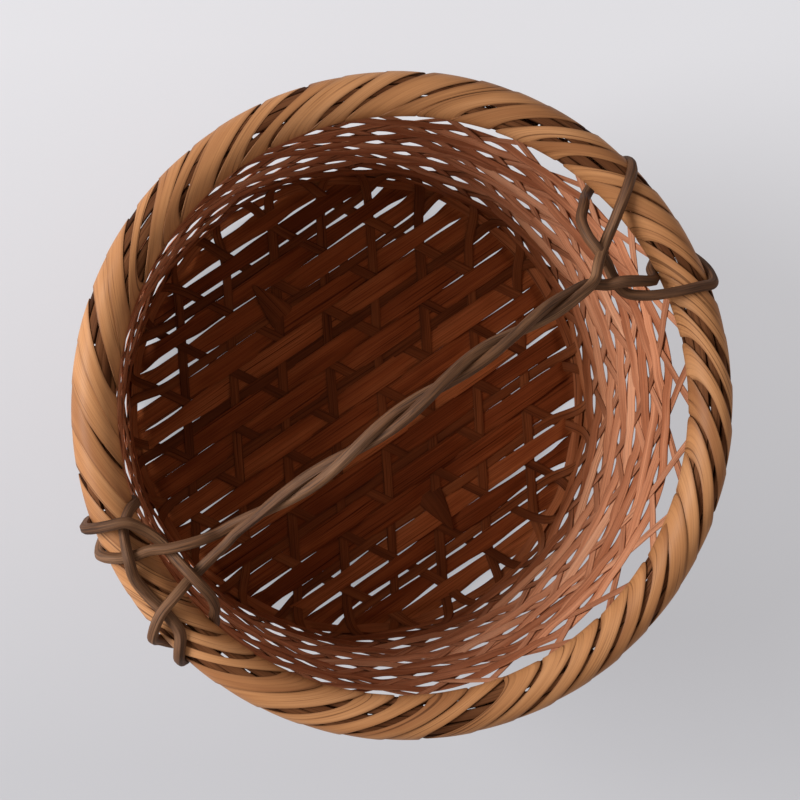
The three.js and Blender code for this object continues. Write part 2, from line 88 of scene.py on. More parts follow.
# %% [markdown]
# ## Floor and light
#
# The basket stands on pale paper under one large soft lamp at the left of the picture, low enough that
# the rim shades the floor, and even light from all round. The paper's colour is painted darker towards
# the bottom of the picture, as painted shade where the lamp's light falls off. It shows its own colour
# to the camera for a part, least under the middle of the floor and most from its edge outwards: outside
# the basket this keeps the paper pale, and under the edge of the floor it is painted light, so the slits
# of the weave stay pale there. For the rest it keeps the basket's shadow.

# %% Lay the paper
PAPER_SIZE = 6.0
PAPER_LEVEL = -0.0004
PAPER_ROUGHNESS = 0.9
# Painted shade: the paper's colour runs from PAPER_PALE at the top of the picture to PAPER_DARK at the
# bottom, for the lamp's light falling off.
PAPER_PALE = (0.75, 0.755, 0.795, 1)
PAPER_DARK = (0.58, 0.585, 0.62, 1)
PAPER_FADE = 0.15
# Painted light: the paper's glow to the camera rises from MIDDLE_GLOW at DARK_RADIUS to PAPER_GLOW at
# PALE_RADIUS, lighting the paper under the edge of the floor where the basket shades it; outside the
# basket it keeps the paper pale.
PAPER_GLOW = 0.65
MIDDLE_GLOW = 0.02  # under the middle of the basket
DARK_RADIUS = 0.03
PALE_RADIUS = 0.088
bpy.ops.mesh.primitive_plane_add(size=PAPER_SIZE, location=(0, 0, PAPER_LEVEL))
paper = bpy.context.object
paper.name = "paper"
paper_finish = bpy.data.materials.new("pale_paper")
paper_finish.use_nodes = True
nodes = paper_finish.node_tree.nodes
links = paper_finish.node_tree.links
surface = nodes["Principled BSDF"]
surface.inputs["Roughness"].default_value = PAPER_ROUGHNESS
# Painted light under the edge of the floor: camera rays see this glow, by a share that grows with the
# distance from the middle.
glow = nodes.new("ShaderNodeEmission")
seen = nodes.new("ShaderNodeLightPath")
spot = nodes.new("ShaderNodeTexCoord")
radius = nodes.new("ShaderNodeVectorMath")
radius.operation = "LENGTH"
share = nodes.new("ShaderNodeMapRange")
share.inputs["From Min"].default_value = DARK_RADIUS
share.inputs["From Max"].default_value = PALE_RADIUS
share.inputs["To Min"].default_value = MIDDLE_GLOW
share.inputs["To Max"].default_value = PAPER_GLOW
shown = nodes.new("ShaderNodeMath")
shown.operation = "MULTIPLY"
# Painted shade: the paper's colour darkens along the picture's upward line, towards the bottom.
upward = nodes.new("ShaderNodeVectorMath")
upward.operation = "DOT_PRODUCT"
upward.inputs[1].default_value = picture_up
shade = nodes.new("ShaderNodeValToRGB")
shade.color_ramp.elements[0].position = 0.0
shade.color_ramp.elements[0].color = PAPER_DARK
shade.color_ramp.elements[1].position = 1.0
shade.color_ramp.elements[1].color = PAPER_PALE
height = nodes.new("ShaderNodeMapRange")
height.inputs["From Min"].default_value = -PAPER_FADE
height.inputs["From Max"].default_value = PAPER_FADE
links.new(spot.outputs["Object"], upward.inputs[0])
links.new(upward.outputs["Value"], height.inputs["Value"])
links.new(height.outputs["Result"], shade.inputs["Fac"])
links.new(shade.outputs["Color"], surface.inputs["Base Color"])
links.new(shade.outputs["Color"], glow.inputs["Color"])
links.new(spot.outputs["Object"], radius.inputs[0])
links.new(radius.outputs["Value"], share.inputs["Value"])
blend = nodes.new("ShaderNodeMixShader")
links.new(seen.outputs["Is Camera Ray"], shown.inputs[0])
links.new(share.outputs["Result"], shown.inputs[1])
links.new(shown.outputs[0], blend.inputs["Fac"])
links.new(surface.outputs[0], blend.inputs[1])
links.new(glow.outputs[0], blend.inputs[2])
links.new(blend.outputs[0], nodes["Material Output"].inputs["Surface"])
paper.data.materials.append(paper_finish)

# %% Hang the lamp and light the room
LAMP_DISTANCE = 2.6
LAMP_RISE = math.radians(33)
LAMP_POWER = 79.0
LAMP_SIZE = 1.3
LAMP_UPWARD = 0.12  # how far up the picture it hangs for each metre to the left
ROOM_LIGHT = 0.46
ROOM_COLOUR = (1.0, 0.9, 0.8, 1)
lamp_way = (picture_up * LAMP_UPWARD - picture_right).normalized()
lamp_place = lamp_way * math.cos(LAMP_RISE) + Vector((0, 0, math.sin(LAMP_RISE)))
bpy.ops.object.light_add(type="AREA", location=lamp_place * LAMP_DISTANCE)
lamp = bpy.context.object
lamp.name = "soft_lamp"
lamp.data.energy = LAMP_POWER
lamp.data.shape = "DISK"
lamp.data.size = LAMP_SIZE
lamp.rotation_euler = lamp_place.to_track_quat("Z", "Y").to_euler()
room = bpy.data.worlds.new("room")
room.use_nodes = True
room.node_tree.nodes["Background"].inputs["Color"].default_value = ROOM_COLOUR
room.node_tree.nodes["Background"].inputs["Strength"].default_value = ROOM_LIGHT
bpy.context.scene.world = room
bpy.context.scene.view_settings.view_transform = "Standard"
print("lamp at", [round(x, 2) for x in lamp.location])

# %% [markdown]
# ## The weave's lattice
#
# Every strip follows one surface: a flat floor, a tight fold and a wall that leans outwards. A place
# on it is an angle round the basket and a reach, measured from the middle of the floor along the
# surface. A lift moves a point off the surface, inwards. The numbers are the solids' own, but the
# strips are thinner here, as real split bamboo is, so they lie closer to the surface.

# %% Describe the surface
FLOOR_RADIUS = 90.0
FOLD_RADIUS = 6.0
RIM_RADIUS = 116.0
OPEN_DROP = 28.5
RIM_ROLL_RADIUS = 7.4
STAKES_PER_FAMILY = 8
WALL_ROWS = 7
STAKE_TAIL = 1.5
STAKE_WIDTH = 4.0
STAKE_THICKNESS = 0.32
WEAVER_THICKNESS = 0.34
SLAT_THICKNESS = 0.5
STAKE_WAVE = 0.26  # lift of a stake at a crossing in the floor
WALL_LIFT = 0.24  # lift of a stake on the wall
STRIP_GAP = 0.03  # between a slat and the stakes it crosses
SLAT_LIFT = STAKE_WAVE + STAKE_THICKNESS / 2 + SLAT_THICKNESS / 2 + STRIP_GAP
WEAVER_LIFT = 0.78  # lift of a weaver beside a crossing on the wall
FLOOR_LEVEL = SLAT_LIFT + SLAT_THICKNESS / 2
RIM_RISE = RIM_LEVEL / MM - FLOOR_LEVEL
HALF_FAMILY = STAKES_PER_FAMILY // 2
COLUMNS = 3 * STAKES_PER_FAMILY
COLUMN = 2 * math.pi / COLUMNS
SIXTY = math.pi / 3
FLOOR_BORDER = 0.4  # pitches of floor beyond the last line of crossings
PITCH = FLOOR_RADIUS / (HALF_FAMILY + FLOOR_BORDER)
CROSSING_STEP = PITCH / math.sqrt(3)
RUN_OUT = RIM_RADIUS - FLOOR_RADIUS
RUN_UP = RIM_RISE - FOLD_RADIUS
FOLD_TO_RIM = math.hypot(RUN_OUT, RUN_UP)
WALL_LEAN = math.atan2(RUN_OUT, RUN_UP) - math.asin(FOLD_RADIUS / FOLD_TO_RIM)
FOLD_TURN = math.pi / 2 - WALL_LEAN
FOLD_END = FLOOR_RADIUS + FOLD_RADIUS * FOLD_TURN
RIM_REACH = FOLD_END + math.sqrt(FOLD_TO_RIM**2 - FOLD_RADIUS**2)
FIRST_REACH = FOLD_END + STAKE_WIDTH
ROW = (RIM_REACH - OPEN_DROP - FIRST_REACH) / (WALL_ROWS - 0.5)
OPEN_ROW = OPEN_DROP - RIM_ROLL_RADIUS
RIM_ROW = WALL_ROWS + OPEN_DROP / OPEN_ROW


def row_reach(row):
    """Reach of a row of the wall, counted from the last crossing in the floor."""
    above = max(row - WALL_ROWS, 0)
    return FIRST_REACH + (row - above - 0.5) * ROW + above * OPEN_ROW


def place(angle, reach):
    """Points on the middle layer, in millimetres, and their inward normals."""
    angle, reach = np.broadcast_arrays(np.asarray(angle, float), np.asarray(reach, float))
    tilt = np.clip((reach - FLOOR_RADIUS) / FOLD_RADIUS, 0, FOLD_TURN)
    beyond = np.maximum(reach - FOLD_END, 0)
    radius = np.minimum(reach, FLOOR_RADIUS) + FOLD_RADIUS * np.sin(tilt) + beyond * np.cos(tilt)
    height = FLOOR_LEVEL + FOLD_RADIUS * (1 - np.cos(tilt)) + beyond * np.sin(tilt)
    points = np.stack([radius * np.cos(angle), radius * np.sin(angle), height], -1)
    inwards = -np.sin(tilt)
    normals = np.stack([inwards * np.cos(angle), inwards * np.sin(angle), np.cos(tilt)], -1)
    return points, normals


def crossing_angle(column, row):
    """Angle of a crossing of two stakes in a row of the wall."""
    return (column + 0.5 + row / 2) * COLUMN


print("row height", round(ROW, 2), "mm, wall lean", round(math.degrees(WALL_LEAN), 1), "degrees")

# %% [markdown]
# ## Laying a strip
#
# A split strip is thin, long and slightly uneven. A grid primitive is a flat strip of cells, so each
# strip starts as a grid whose rows are carried along its path, as a Curve modifier would do, but with
# the strip's face held to the basket's surface. Solidify gives it its thickness and Bevel its soft
# edges. The UV map holds millimetres along and across the strip, so the grain runs with the fibres.

# %% Make the strip tools
SEED = 7
DRIFT_PASSES = 6
MERGE_DISTANCE = 0.004 * MM
BEVEL_SHARE = 0.24  # of a strip's thickness
BEVEL_ANGLE = math.radians(50)
SMOOTH_ANGLE = math.radians(40)
GRAIN_LENGTH = 4000  # each strip's grain starts somewhere in a sheet of this size
GRAIN_WIDTH = 900
rng = np.random.default_rng(SEED)


def wander(count, knots, size):
    """A slow random drift along a strip, of about that size."""
    steps = rng.normal(0, size, knots)
    drift = np.interp(np.linspace(0, knots - 1, count), np.arange(knots), steps)
    return soften(drift, DRIFT_PASSES)


def soften(rows, passes, closed=False):
    """Rounds the corners of a row of numbers or points and keeps its ends."""
    rows = np.array(rows, float)
    for _ in range(passes):
        if closed:
            rows = (np.roll(rows, 1, 0) + 2 * rows + np.roll(rows, -1, 0)) / 4
        else:
            rows[1:-1] = (rows[:-2] + 2 * rows[1:-1] + rows[2:]) / 4
    return rows


def unit(vectors):
    """The vectors, each with a length of 1."""
    return vectors / np.linalg.norm(vectors, axis=-1, keepdims=True)


def lay_grid(name, sheet, uv, tone, edge, merge=False):
    """A grid primitive whose vertices take the places in sheet, in millimetres.

    The tone is one number, or one for each row of the sheet.
    """
    count, lanes = sheet.shape[:2]
    bpy.ops.object.select_all(action="DESELECT")
    bpy.ops.mesh.primitive_grid_add(x_subdivisions=count - 1, y_subdivisions=lanes - 1, size=1)
    piece = bpy.context.object
    piece.name = name
    mesh = piece.data
    mesh.name = name
    flat = np.empty(3 * len(mesh.vertices), np.float32)
    mesh.vertices.foreach_get("co", flat)
    flat = flat.reshape(-1, 3)
    station = np.rint((flat[:, 0] + 0.5) * (count - 1)).astype(int)
    lane = np.rint((flat[:, 1] + 0.5) * (lanes - 1)).astype(int)
    mesh.vertices.foreach_set("co", (sheet[station, lane] * MM).astype(np.float32).ravel())
    corner = np.empty(len(mesh.loops), np.int32)
    mesh.loops.foreach_get("vertex_index", corner)
    mesh.uv_layers[0].name = "lay"
    spots = uv[station[corner], lane[corner]].astype(np.float32)
    mesh.uv_layers[0].data.foreach_set("uv", spots.ravel())
    tones = np.broadcast_to(tone, count)
    for title, values in (("tone", tones[station]), ("edge", edge[station, lane])):
        layer = mesh.attributes.new(title, "FLOAT", "POINT")
        layer.data.foreach_set("value", values.astype(np.float32))
    mesh.update()
    if merge:
        bpy.ops.object.mode_set(mode="EDIT")
        bpy.ops.mesh.select_all(action="SELECT")
        bpy.ops.mesh.remove_doubles(threshold=MERGE_DISTANCE)
        bpy.ops.object.mode_set(mode="OBJECT")
    return piece


def apply_modifier(piece, kind, **settings):
    """Adds a modifier with these settings and applies it."""
    modifier = piece.modifiers.new(kind.lower(), kind)
    for key, value in settings.items():
        setattr(modifier, key, value)
    bpy.context.view_layer.objects.active = piece
    bpy.ops.object.modifier_apply(modifier=modifier.name)


def face_outwards(smooth_angle):
    """Turns the active piece's faces outwards and smooths its edges up to that angle."""
    bpy.ops.object.mode_set(mode="EDIT")
    bpy.ops.mesh.select_all(action="SELECT")
    bpy.ops.mesh.normals_make_consistent(inside=False)
    bpy.ops.object.mode_set(mode="OBJECT")
    bpy.ops.object.shade_smooth_by_angle(angle=smooth_angle)


def round_off(piece, thickness, bevel):
    """Gives a grid its thickness and soft edges, with its faces outwards."""
    apply_modifier(piece, "SOLIDIFY", thickness=thickness * MM, offset=0)
    apply_modifier(
        piece, "BEVEL", width=bevel * MM, segments=2, limit_method="ANGLE", angle_limit=BEVEL_ANGLE
    )
    face_outwards(SMOOTH_ANGLE)


def lay_sheet(name, sheet, reach, thickness, closed=False):
    """A strip made of a sheet of places. Reach holds the millimetres across it."""
    middle = sheet[:, sheet.shape[1] // 2]
    steps = np.linalg.norm(np.diff(middle, axis=0), axis=1)
    along = np.append(0, np.cumsum(steps)) + rng.uniform(0, GRAIN_LENGTH)
    across = reach + rng.uniform(0, GRAIN_WIDTH)
    uv = np.stack([np.broadcast_to(along[:, None], reach.shape), across], -1)
    edge = np.broadcast_to(np.abs(np.linspace(-1, 1, sheet.shape[1])), reach.shape)
    piece = lay_grid(name, sheet, uv, rng.normal(0, 1), edge, merge=closed)
    round_off(piece, thickness, BEVEL_SHARE * thickness)
    return piece


def lay_strip(name, points, normals, width, thickness, closed=False, cells=4, crown=0.0):
    """A strip along a path, its face square to the normals."""
    if closed:
        ahead = np.roll(points, -1, 0)
        behind = np.roll(points, 1, 0)
    else:
        ahead = np.vstack([points[1:], 2 * points[-1:] - points[-2:-1]])
        behind = np.vstack([2 * points[:1] - points[1:2], points[:-1]])
    across = unit(np.cross(normals, ahead - behind))
    widths = np.broadcast_to(width, len(points)).astype(float)
    if closed:
        points = np.vstack([points, points[:1]])
        across = np.vstack([across, across[:1]])
        normals = np.vstack([normals, normals[:1]])
        widths = np.append(widths, widths[0])
    lanes = np.linspace(-0.5, 0.5, cells + 1)
    reach = lanes[None, :] * widths[:, None]
    swell = np.broadcast_to(crown * (1 - 4 * lanes**2), reach.shape)
    sheet = points[:, None] + across[:, None] * reach[..., None] + normals[:, None] * swell[..., None]
    return lay_sheet(name, sheet, reach, thickness, closed)


def dress(piece, finish, slot, *solids):
    """Gives a piece its finish and lets it stand for its solids."""
    piece.data.materials.clear()
    piece.data.materials.append(finish)
    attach(piece, "root")
    if solids:
        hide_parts(*solids)


# %% [markdown]
# ## Bamboo finishes
#
# Split bamboo is a bundle of straight fibres: it shows fine streaks along its length, slow changes of
# colour and a few darker splits. One recipe makes all the bamboo from noise that is stretched along the
# strip, and each finish has its own colours. A strip's own tone makes it a little darker or paler than
# its neighbours. Each strip is also darker along its edges, as painted shade where the strips meet and
# overlap.
# Lower on the basket the colours grow darker, partly the bamboo's own colour and partly painted shade of
# the deep basket's floor and fold.

# %% Make the bamboo recipe
# Partly painted shade: a finish takes its low colours below LOW_HEIGHT and its high ones above
# HIGH_HEIGHT; the low ones are darker for the shaded bottom of the basket as well as for the bamboo's
# own colour.
LOW_HEIGHT = 0.004
HIGH_HEIGHT = 0.05
TONE_STOPS = (0.25, 0.5, 0.78)
STREAK_SHADES = ((0.32, (0.5, 0.44, 0.4)), (0.5, (1, 1, 1)), (0.7, (1.2, 1.18, 1.12)))
SPLIT_SHADES = ((0.32, (0.2, 0.14, 0.1)), (0.375, (1, 1, 1)))
EDGE_SHADE_POWER = 6  # how closely the painted shade keeps to the edges
EDGE_SHADE_COLOUR = 0.6  # of the darkest colour, for the painted shade at the edges
ROUGHNESS_FALL = 0.1
ROUGHNESS_RISE = 0.12
FIBRE_RELIEF = 0.6
FIBRE_HEIGHT = 0.05 * MM


def add_node(tree, kind, **inputs):
    """A new shader node with these values on its inputs."""
    node = tree.nodes.new(kind)
    for key, value in inputs.items():
        node.inputs[key].default_value = value
    return node


def stretched_noise(tree, lay, along, across, detail, shift):
    """Noise whose spots are that many millimetres long and wide on the strip."""
    scale = (1 / along, 1 / across, 1)
    mapping = add_node(tree, "ShaderNodeMapping", Scale=scale, Location=(shift, shift, shift))
    noise = add_node(tree, "ShaderNodeTexNoise", Scale=1.0, Detail=detail, Roughness=0.6)
    tree.links.new(lay.outputs["UV"], mapping.inputs["Vector"])
    tree.links.new(mapping.outputs["Vector"], noise.inputs["Vector"])
    return noise.outputs["Fac"]


def ramp(tree, source, stops):
    """A colour ramp through (place, colour) stops."""
    node = tree.nodes.new("ShaderNodeValToRGB")
    elements = node.color_ramp.elements
    while len(elements) < len(stops):
        elements.new(0.5)
    for element, (spot, colour) in zip(elements, stops):
        element.position = spot
        element.color = (*colour, 1)
    tree.links.new(source, node.inputs["Fac"])
    return node.outputs["Color"]


def mix_colours(tree, way, amount, first, second):
    """Blends two colours. The amount is a number or a socket."""
    node = tree.nodes.new("ShaderNodeMix")
    node.data_type = "RGBA"
    node.blend_type = way
    if isinstance(amount, (int, float)):
        node.inputs["Factor"].default_value = amount
    else:
        tree.links.new(amount, node.inputs["Factor"])
    tree.links.new(first, node.inputs["A"])
    if isinstance(second, tuple):
        node.inputs["B"].default_value = (*second, 1)
    else:
        tree.links.new(second, node.inputs["B"])
    return node.outputs["Result"]


def sum_up(tree, way, first, second):
    """Works out one sum of two values, each a number or a socket."""
    node = tree.nodes.new("ShaderNodeMath")
    node.operation = way
    for socket, value in zip(node.inputs, (first, second)):
        if isinstance(value, (int, float)):
            socket.default_value = value
        else:
            tree.links.new(value, socket)
    return node.outputs[0]


def start_finish(name):
    """A new material, its node tree, its surface and the strip's own coordinates."""
    material = bpy.data.materials.new(name)
    material.use_nodes = True
    tree = material.node_tree
    lay = tree.nodes.new("ShaderNodeUVMap")
    lay.uv_map = "lay"
    return material, tree, tree.nodes["Principled BSDF"], lay


def raise_fibres(tree, body, fibres, strength, height):
    """Lets the fibres stand out of the surface."""
    bump = add_node(tree, "ShaderNodeBump", Strength=strength, Distance=height)
    tree.links.new(fibres, bump.inputs["Height"])
    tree.links.new(bump.outputs["Normal"], body.inputs["Normal"])


def bamboo(name, low, high, roughness, streak=0.8, splits=0.6, tone_step=0.12, edge_shade_strength=0.35, gloss=0.04):
    """A split bamboo finish. Its dark, middle and pale colours change from low on the basket to high;
    the low ones are darker, partly the bamboo's own colour and partly painted shade.
    """
    material, tree, body, lay = start_finish(name)
    slow = stretched_noise(tree, lay, along=70, across=9, detail=3, shift=3.1)
    fibres = stretched_noise(tree, lay, along=45, across=0.35, detail=4, shift=17.7)
    cracks = stretched_noise(tree, lay, along=90, across=0.9, detail=2, shift=41.3)
    tone = tree.nodes.new("ShaderNodeAttribute")
    tone.attribute_name = "tone"
    edge = tree.nodes.new("ShaderNodeAttribute")
    edge.attribute_name = "edge"
    shifted = sum_up(tree, "MULTIPLY_ADD", tone.outputs["Fac"], tone_step)
    tree.links.new(slow, shifted.node.inputs[2])
    places = tree.nodes.new("ShaderNodeTexCoord")
    parts = tree.nodes.new("ShaderNodeSeparateXYZ")
    tree.links.new(places.outputs["Object"], parts.inputs[0])
    # Partly painted shade: the blend from the low colours to the high ones with height.
    rise = tree.nodes.new("ShaderNodeMapRange")
    rise.inputs["From Min"].default_value = LOW_HEIGHT
    rise.inputs["From Max"].default_value = HIGH_HEIGHT
    tree.links.new(parts.outputs["Z"], rise.inputs["Value"])
    below = ramp(tree, shifted, tuple(zip(TONE_STOPS, low)))
    above = ramp(tree, shifted, tuple(zip(TONE_STOPS, high)))
    colour = mix_colours(tree, "MIX", rise.outputs["Result"], below, above)
    streaks = ramp(tree, fibres, STREAK_SHADES)
    colour = mix_colours(tree, "MULTIPLY", streak, colour, streaks)
    gaps = ramp(tree, cracks, SPLIT_SHADES)
    colour = mix_colours(tree, "MULTIPLY", splits, colour, gaps)
    # Painted shade along each strip's edges, where the strips meet and overlap.
    edge_shade = sum_up(tree, "POWER", edge.outputs["Fac"], EDGE_SHADE_POWER)
    edge_shade = sum_up(tree, "MULTIPLY", edge_shade, edge_shade_strength)
    colour = mix_colours(tree, "MIX", edge_shade, colour, tuple(EDGE_SHADE_COLOUR * x for x in low[0]))
    tree.links.new(colour, body.inputs["Base Color"])
    polish = tree.nodes.new("ShaderNodeMapRange")
    polish.inputs["To Min"].default_value = roughness - ROUGHNESS_FALL
    polish.inputs["To Max"].default_value = roughness + ROUGHNESS_RISE
    tree.links.new(fibres, polish.inputs["Value"])
    tree.links.new(polish.outputs["Result"], body.inputs["Roughness"])
    raise_fibres(tree, body, fibres, FIBRE_RELIEF, FIBRE_HEIGHT)
    body.inputs["Specular IOR Level"].default_value = gloss
    return material


# STAKE_LOW and WEAVER_LOW are partly painted shade of the basket's floor and fold, beside the lit wall's
# STAKE_HIGH and WEAVER_HIGH.
STAKE_LOW = ((0.075, 0.019, 0.006), (0.135, 0.036, 0.011), (0.2, 0.06, 0.02))
STAKE_HIGH = ((0.27, 0.1, 0.05), (0.47, 0.2, 0.11), (0.6, 0.295, 0.175))
SLAT_LOW = ((0.125, 0.027, 0.007), (0.21, 0.052, 0.015), (0.3, 0.088, 0.029))
WEAVER_LOW = ((0.16, 0.044, 0.015), (0.28, 0.088, 0.033), (0.4, 0.148, 0.062))
WEAVER_HIGH = ((0.34, 0.12, 0.058), (0.575, 0.248, 0.135), (0.7, 0.362, 0.22))
BINDING = ((0.27, 0.108, 0.041), (0.41, 0.187, 0.075), (0.52, 0.26, 0.118))
SPLINT = ((0.035, 0.012, 0.005), (0.085, 0.03, 0.012), (0.16, 0.064, 0.027))
stake_finish = bamboo("smoked_stake", STAKE_LOW, STAKE_HIGH, 0.6)
slat_finish = bamboo("dark_slat", SLAT_LOW, SLAT_LOW, 0.62, streak=1.0, splits=0.8)
weaver_finish = bamboo("tan_weaver", WEAVER_LOW, WEAVER_HIGH, 0.56)
binding_finish = bamboo(
    "honey_binding", BINDING, BINDING, 0.5, streak=0.45, splits=0.7, tone_step=0.06, edge_shade_strength=0.8, gloss=0.2
)
splint_finish = bamboo("rim_splint", SPLINT, SPLINT, 0.66)
print("finishes:", [m.name for m in bpy.data.materials if m.use_nodes])

# %% [markdown]
# ## Stakes
#
# Each stake is one strip from the rim down the wall, across the floor and up the other wall. In the
# floor it passes over and under the stakes it crosses, by turns. On the wall the stakes that lean one
# way stay inside those that lean the other way.

# %% Lay the stakes
STEP = 1.6  # between stations along a strip
FEWEST_STEPS = 4
RADIUS_PER_REACH = 0.6  # about, on the wall, to count stations
PATH_PASSES = 14
LIFT_PASSES = 2
STAKE_SWAY = 0.22  # how far a stake drifts sideways
STAKE_WIDTHS = (0.93, 1.06)  # narrowest and widest stake, as shares
STAKE_UNEVENNESS = 0.12
STAKE_CROWN = 0.06


def wall_knots(start, lean):
    """Angle, reach and lift at each row of crossings, for an arm that leans one way."""
    rows = [0.5] + list(range(1, math.ceil(RIM_ROW))) + [RIM_ROW + STAKE_TAIL / OPEN_ROW]
    return [(start + lean * row * COLUMN / 2, row_reach(row), lean * WALL_LIFT) for row in rows]


def floor_knots(direction, line):
    """Angle, reach and lift where a stake meets the other two families in the floor."""
    offset = (line + 0.5) * PITCH
    meets = []
    for other in range(-HALF_FAMILY, HALF_FAMILY):
        beside = (other + 0.5) * PITCH
        if abs(other - line) <= HALF_FAMILY:
            meets.append((offset / 2 - beside) / math.sin(SIXTY))
        if abs(other + line + 1) <= HALF_FAMILY:
            meets.append(-(offset / 2 + beside) / math.sin(SIXTY))
    meets.sort(reverse=True)
    knots = []
    for index, x in enumerate(meets):
        lift = STAKE_WAVE * math.copysign(1, offset) * (-1 if index % 2 == 0 else 1)
        knots.append((direction + math.atan2(offset, x), math.hypot(x, offset), lift))
    return knots


def between(first, second, in_floor):
    """Angles and reaches from one crossing to the next, without the last."""
    if in_floor:
        ends = np.array([(r * math.cos(a), r * math.sin(a)) for a, r, _ in (first, second)])
        count = max(FEWEST_STEPS, math.ceil(np.linalg.norm(ends[1] - ends[0]) / STEP))
        share = np.arange(count)[:, None] / count
        spots = ends[0] + share * (ends[1] - ends[0])
        return np.arctan2(spots[:, 1], spots[:, 0]), np.hypot(spots[:, 0], spots[:, 1])
    turn = math.remainder(second[0] - first[0], 2 * math.pi)
    radius = RADIUS_PER_REACH * (first[1] + second[1]) / 2
    length = math.hypot(second[1] - first[1], turn * radius)
    count = max(FEWEST_STEPS, math.ceil(length / STEP))
    share = np.arange(count) / count
    return first[0] + share * turn, first[1] + share * (second[1] - first[1])


def stake_path(direction, line):
    """Points and normals along one stake, from rim to rim."""
    side = 1 if line >= 0 else -1
    foot = (line + 0.5) * COLUMN
    near = wall_knots(direction + foot, -side)[::-1]
    far = wall_knots(direction + math.pi - foot, side)
    floor = floor_knots(direction, line)
    knots = near + floor + far
    points, normals, lifts = [], [], []
    for index in range(len(knots) - 1):
        in_floor = len(near) <= index < len(near) + len(floor) - 1
        angles, reaches = between(knots[index], knots[index + 1], in_floor)
        spots, ups = place(angles, reaches)
        share = np.arange(len(spots)) / len(spots)
        swing = 0.5 - 0.5 * np.sin(math.pi / 2 * np.cos(math.pi * share))
        points.append(spots)
        normals.append(ups)
        lifts.append(knots[index][2] + swing * (knots[index + 1][2] - knots[index][2]))
    points = soften(np.vstack(points), PATH_PASSES)
    normals = unit(soften(np.vstack(normals), PATH_PASSES))
    lifts = soften(np.concatenate(lifts), LIFT_PASSES)
    return points + normals * lifts[:, None], normals


stakes = []
for family, letter in enumerate("abc"):
    for line in range(-HALF_FAMILY, HALF_FAMILY):
        points, normals = stake_path(family * SIXTY, line)
        ahead = unit(np.gradient(points, axis=0))
        drift = wander(len(points), knots=14, size=STAKE_SWAY)
        points = points + np.cross(normals, ahead) * drift[:, None]
        width = STAKE_WIDTH * rng.uniform(*STAKE_WIDTHS)
        width = width + wander(len(points), knots=20, size=STAKE_UNEVENNESS)
        node = f"stake_{letter}_{line + HALF_FAMILY + 1}"
        piece = lay_strip(f"split_{node}", points, normals, width, STAKE_THICKNESS, crown=STAKE_CROWN)
        dress(piece, stake_finish, "stakes", node)
        stakes.append(piece)
print("stakes:", len(stakes), "faces each:", len(stakes[0].data.polygons))

# %% [markdown]
# ## Floor slats
#
# The wide slats lie parallel to the handle, in pairs on each side of a line of crossings. A slat passes
# over one pair of stakes and under the next, and its ends turn up where the floor folds into the wall.
# Two more close the floor at its edge, where no solid lies.

# %% Lay the slats
CLEARANCE = 0.3
SLAT_WIDTH = PITCH / 2 - STAKE_WIDTH / 2 - 2 * CLEARANCE
SLAT_END_REACH = 97.0
LAST_CROSSING = 87.0
SLAT_LANES = 7
SLAT_CROWN = 0.08
SLAT_SWAY = 0.12
SLAT_UNEVENNESS = 0.06
SLAT_FULLNESS = 1.13  # width in the middle of the floor, as a share of the solid's
SLAT_SLIMMING = 0.04  # how much of that share goes near the floor's edge
SLAT_GAP = 1.6  # how much narrower a slat is near the floor's edge
GAP_MEAN = 0.75  # shares of the gap
GAP_DRIFT = 0.9
GAP_MOST = 1.5
SLITS_START = 54  # radii between which the slits open and close again
SLITS_OPEN = 80
SLITS_NARROW = 85
SLITS_END = 92
SLITS_CLOSING = 0.9
TUCK_START = 87  # radii between which a slat's end goes behind the lowest weaver
TUCK_END = 92.5
SLAT_TUCK = -1.05  # lift of a slat's end there
SLAT_FLAT = (SLAT_WIDTH + CLEARANCE) / math.tan(SIXTY) + STAKE_WIDTH / 2 / math.sin(SIXTY)


def ease(value, start, stop):
    """A share that eases from 0 at start to 1 at stop."""
    share = np.clip((value - start) / (stop - start), 0, 1)
    return share * share * (3 - 2 * share)


def eased(value, flats):
    """A value that rests on flats, given as (from, to, height), and eases between them."""
    places = [end for start, stop, _ in flats for end in (start, stop)]
    heights = [height for _, _, height in flats for _ in range(2)]
    raw = np.interp(value, places, heights)
    low = min(heights)
    high = max(heights)
    return low + (high - low) * ease(raw, low, high)


